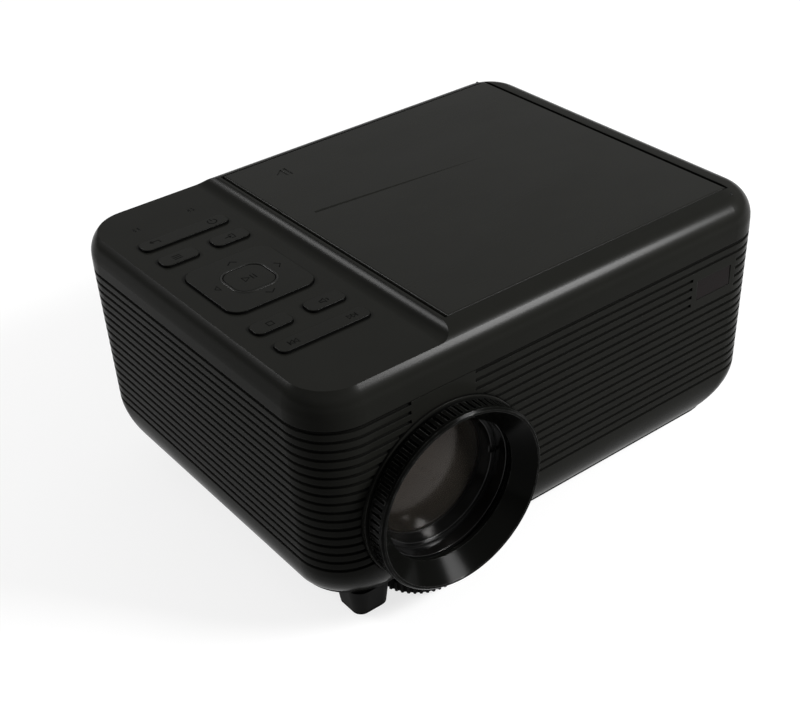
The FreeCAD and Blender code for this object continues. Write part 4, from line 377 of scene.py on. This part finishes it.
# raised signs on the keys, in millimetres about each key's middle; a stroke is (points, closed)
millimetre = 0.001
signSettings = {"radius": 0.34, "proud": 0.11, "steps": 2}
powerArc = {"radius": 1.9, "start": 125, "step": 18, "count": 17}
arcTurns = [math.radians(powerArc["start"] + powerArc["step"] * i) for i in range(powerArc["count"])]
arcPoints = [(powerArc["radius"] * math.cos(turn), powerArc["radius"] * math.sin(turn)) for turn in arcTurns]
signs = {
    "rearArrow": [([(-2.0, -0.9), (0.0, 0.9), (2.0, -0.9)], False)],
    "frontArrow": [([(-2.0, 0.9), (0.0, -0.9), (2.0, 0.9)], False)],
    "rightArrow": [([(-0.9, 2.0), (0.9, 0.0), (-0.9, -2.0)], False)],
    "leftArrow": [([(0.9, 1.8), (-0.9, 0.0), (0.9, -1.8)], True)],
    "power": [(arcPoints, False), ([(0.0, 0.3), (0.0, 2.2)], False)],
    "back": [([(2.0, -1.2), (2.0, 0.8), (-1.8, 0.8)], False), ([(-0.8, 1.8), (-1.9, 0.8), (-0.8, -0.2)], False)],
    "menu": [([(-1.8, row), (1.8, row)], False) for row in (-1.3, 0.0, 1.3)],
    "source": [([(0.2, 1.5), (2.0, 1.5), (2.0, -1.5), (0.2, -1.5)], False), ([(-2.2, 0.0), (0.6, 0.0)], False),
               ([(-0.3, 0.9), (0.7, 0.0), (-0.3, -0.9)], False)],
    "stop": [([(-1.2, -1.2), (1.2, -1.2), (1.2, 1.2), (-1.2, 1.2)], True)],
    "sound": [([(-2.0, -0.6), (-1.0, -0.6), (0.2, -1.5), (0.2, 1.5), (-1.0, 0.6), (-2.0, 0.6)], True),
              ([(1.2, -0.9), (1.6, 0.0), (1.2, 0.9)], False)],
    "skipBack": [([(1.8, 1.3), (0.2, 0.0), (1.8, -1.3)], True), ([(0.0, 1.3), (-1.6, 0.0), (0.0, -1.3)], True),
                 ([(-1.9, 1.3), (-1.9, -1.3)], False)],
    "skipOn": [([(-1.8, 1.3), (-0.2, 0.0), (-1.8, -1.3)], True), ([(0.0, 1.3), (1.6, 0.0), (0.0, -1.3)], True),
               ([(1.9, 1.3), (1.9, -1.3)], False)],
    "play": [([(-2.6, 1.7), (0.0, 0.0), (-2.6, -1.7)], True), ([(1.1, 1.6), (1.1, -1.6)], False),
             ([(2.5, 1.6), (2.5, -1.6)], False)],
}
# sign, across, back from the key's middle
signPlaces = {
    "nav_pad": [("rearArrow", 0.8, 14.2), ("frontArrow", 0.8, -14.0), ("rightArrow", 14.0, 1.0),
                ("leftArrow", -13.8, 1.0)],
    "rear_wide_key": [("back", -13.0, 0.6), ("power", 13.4, 0.2)],
    "front_wide_key": [("skipBack", -12.6, 0.0), ("skipOn", 13.0, 0.0)],
    "rear_left_key": [("menu", -0.6, 0.0)],
    "rear_right_key": [("source", 0.0, 0.0)],
    "front_left_key": [("stop", -0.4, 0.0)],
    "front_right_key": [("sound", 0.0, 0.0)],
    "centre_key": [("play", 0.0, 0.0)],
}


def makeStrokes(name, strokes, height, radius, proud, steps):
    # round strokes, sunk so that only their tops stand out
    curve = bpy.data.curves.new(name, "CURVE")
    curve.dimensions = "3D"
    curve.bevel_depth = radius * millimetre
    curve.bevel_resolution = steps
    curve.use_fill_caps = True
    for points, closed in strokes:
        spline = curve.splines.new("POLY")
        spline.points.add(len(points) - 1)
        for point, (x, y) in zip(spline.points, points):
            point.co = (x * millimetre, y * millimetre, height - (radius - proud) * millimetre, 1.0)
        spline.use_cyclic_u = closed
    piece = bpy.data.objects.new(name, curve)
    bpy.context.scene.collection.objects.link(piece)
    return piece


def nodeMiddle(name):
    # middle in millimetres, top in metres
    low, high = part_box(name)
    return (low.x + high.x) / 2 / millimetre, (low.y + high.y) / 2 / millimetre, high.z


for keyName, placed in signPlaces.items():
    middleX, middleY, top = nodeMiddle(keyName)
    strokes = [([(x + shiftX + middleX, y + shiftY + middleY) for x, y in points], closed)
               for sign, shiftX, shiftY in placed for points, closed in signs[sign]]
    signPiece = makeStrokes(keyName + "_signs", strokes, top, **signSettings)
    signPiece.data.materials.append(made["signs"])
    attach(signPiece, keyName + "_body")

# bright line round the centre key, in millimetres
rimSettings = {"half": 9.45, "corner": 6.0, "radius": 0.55, "proud": 0.26, "steps": 3, "cuts": 8}


def makeCentreRim(s):
    middleX, middleY, top = nodeMiddle("nav_pad")
    inner = s["half"] - s["corner"]
    points = []
    for quarter in range(4):
        start = quarter * math.pi / 2
        cornerX = inner * (1 if quarter in (0, 3) else -1)
        cornerY = inner * (1 if quarter in (0, 1) else -1)
        for step in range(s["cuts"] + 1):
            turn = start + step * math.pi / 2 / s["cuts"]
            points.append((middleX + cornerX + s["corner"] * math.cos(turn),
                           middleY + cornerY + s["corner"] * math.sin(turn)))
    rim = makeStrokes("centre_key_rim", [(points, True)], top, s["radius"], s["proud"], s["steps"])
    rim.data.materials.append(made["rim"])
    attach(rim, "nav_pad_body")


makeCentreRim(rimSettings)
print("key signs built:", len(signPlaces))

# room: floor, lamps, far walls and camera
floorSettings = {"reach": 40.0, "drop": 0.00005, "colour": (0.28, 0.28, 0.28), "roughness": 0.9, "specular": 0.1,
                 "glow": 0.74}


def seenDirectly(tree):
    # the floor glows for the camera and in reflections, and lights the part only by what it scatters
    path = tree.nodes.new("ShaderNodeLightPath")
    seen = mathNode(tree, "MAXIMUM", path.outputs["Is Camera Ray"], path.outputs["Is Glossy Ray"])
    return mathNode(tree, "MAXIMUM", seen, path.outputs["Is Transmission Ray"])


def makeFloor(s):
    mesh = bpy.data.meshes.new("floor")
    r = s["reach"]
    mesh.from_pydata([(-r, -r, 0), (r, -r, 0), (r, r, 0), (-r, r, 0)], [], [(0, 1, 2, 3)])
    floor = bpy.data.objects.new("floor", mesh)
    bpy.context.scene.collection.objects.link(floor)
    floor.location.z = cadLow.z - s["drop"]
    material = bpy.data.materials.new("floorCard")
    material.use_nodes = True
    tree = material.node_tree
    shader = tree.nodes["Principled BSDF"]
    shader.inputs["Base Color"].default_value = (*s["colour"], 1.0)
    shader.inputs["Roughness"].default_value = s["roughness"]
    shader.inputs["Specular IOR Level"].default_value = s["specular"]
    shader.inputs["Emission Color"].default_value = (1.0, 1.0, 1.0, 1.0)
    tree.links.new(mathNode(tree, "MULTIPLY", seenDirectly(tree), s["glow"]), shader.inputs["Emission Strength"])
    material.cycles.emission_sampling = "NONE"
    mesh.materials.append(material)


makeFloor(floorSettings)

lampSettings = {
    "keySoftbox": {"place": (0.80, -0.95, 0.86), "aim": (0, 0, 0.08), "wide": 0.44, "high": 0.34, "power": 29.0},
    "rearSoftbox": {"place": (-0.90, 1.02, 0.80), "aim": (0, 0, 0.08), "wide": 0.46, "high": 0.36, "power": 11.0},
    "ceilingCard": {"place": (0.1, 0.1, 1.9), "aim": (0, 0, 0), "wide": 2.6, "high": 2.6, "power": 6.0},
}


def makeLamp(name, place, aim, wide, high, power):
    light = bpy.data.lights.new(name, "AREA")
    light.shape = "RECTANGLE"
    light.size = wide
    light.size_y = high
    light.energy = power
    lamp = bpy.data.objects.new(name, light)
    bpy.context.scene.collection.objects.link(lamp)
    lamp.location = place
    lamp.rotation_euler = (Vector(aim) - Vector(place)).to_track_quat("-Z", "Y").to_euler()


for lampName, lampValues in lampSettings.items():
    makeLamp(lampName, **lampValues)

# brightness of the far room by height: dim at the horizon, brighter halfway up, dim overhead
worldSettings = {"horizon": 0.10, "wall": 0.60, "ceiling": 0.10, "rising": (0.05, 0.40), "falling": (0.52, 0.85)}


def makeWorld(s):
    world = bpy.data.worlds.new("room")
    world.use_nodes = True
    tree = world.node_tree
    background = tree.nodes["Background"]
    background.inputs["Color"].default_value = (1.0, 1.0, 1.0, 1.0)
    split = tree.nodes.new("ShaderNodeSeparateXYZ")
    tree.links.new(tree.nodes.new("ShaderNodeTexCoord").outputs["Generated"], split.inputs["Vector"])
    rising = rangeNode(tree, split.outputs["Z"], *s["rising"], s["horizon"], s["wall"])
    falling = rangeNode(tree, split.outputs["Z"], *s["falling"], s["wall"], s["ceiling"])
    tree.links.new(mathNode(tree, "MINIMUM", rising, falling), background.inputs["Strength"])
    bpy.context.scene.world = world


makeWorld(worldSettings)

cameraSettings = {"place": (-0.31877, -0.40808, 0.38794), "yaw": -36.378, "pitch": 33.458, "roll": -2.915,
                  "lens": 64.613, "sensor": 36.0, "near": 0.01, "far": 120.0}


def makeCamera(s):
    yaw, pitch, roll = (math.radians(s[key]) for key in ("yaw", "pitch", "roll"))
    right = Vector((math.cos(yaw), math.sin(yaw), 0))
    back = Vector((math.sin(yaw) * math.cos(pitch), -math.cos(yaw) * math.cos(pitch), math.sin(pitch)))
    up = back.cross(right)
    turnedRight = right * math.cos(roll) + up * math.sin(roll)
    turnedUp = up * math.cos(roll) - right * math.sin(roll)
    data = bpy.data.cameras.new("camera")
    data.sensor_width = s["sensor"]
    data.lens = s["lens"]
    data.clip_start = s["near"]
    data.clip_end = s["far"]
    camera = bpy.data.objects.new("camera", data)
    bpy.context.scene.collection.objects.link(camera)
    turn = Matrix((turnedRight, turnedUp, back)).transposed().to_4x4()
    camera.matrix_world = Matrix.Translation(Vector(s["place"])) @ turn
    bpy.context.scene.camera = camera


makeCamera(cameraSettings)
bpy.context.scene.view_settings.view_transform = "Standard"
print("room built:", len(lampSettings), "lamps")
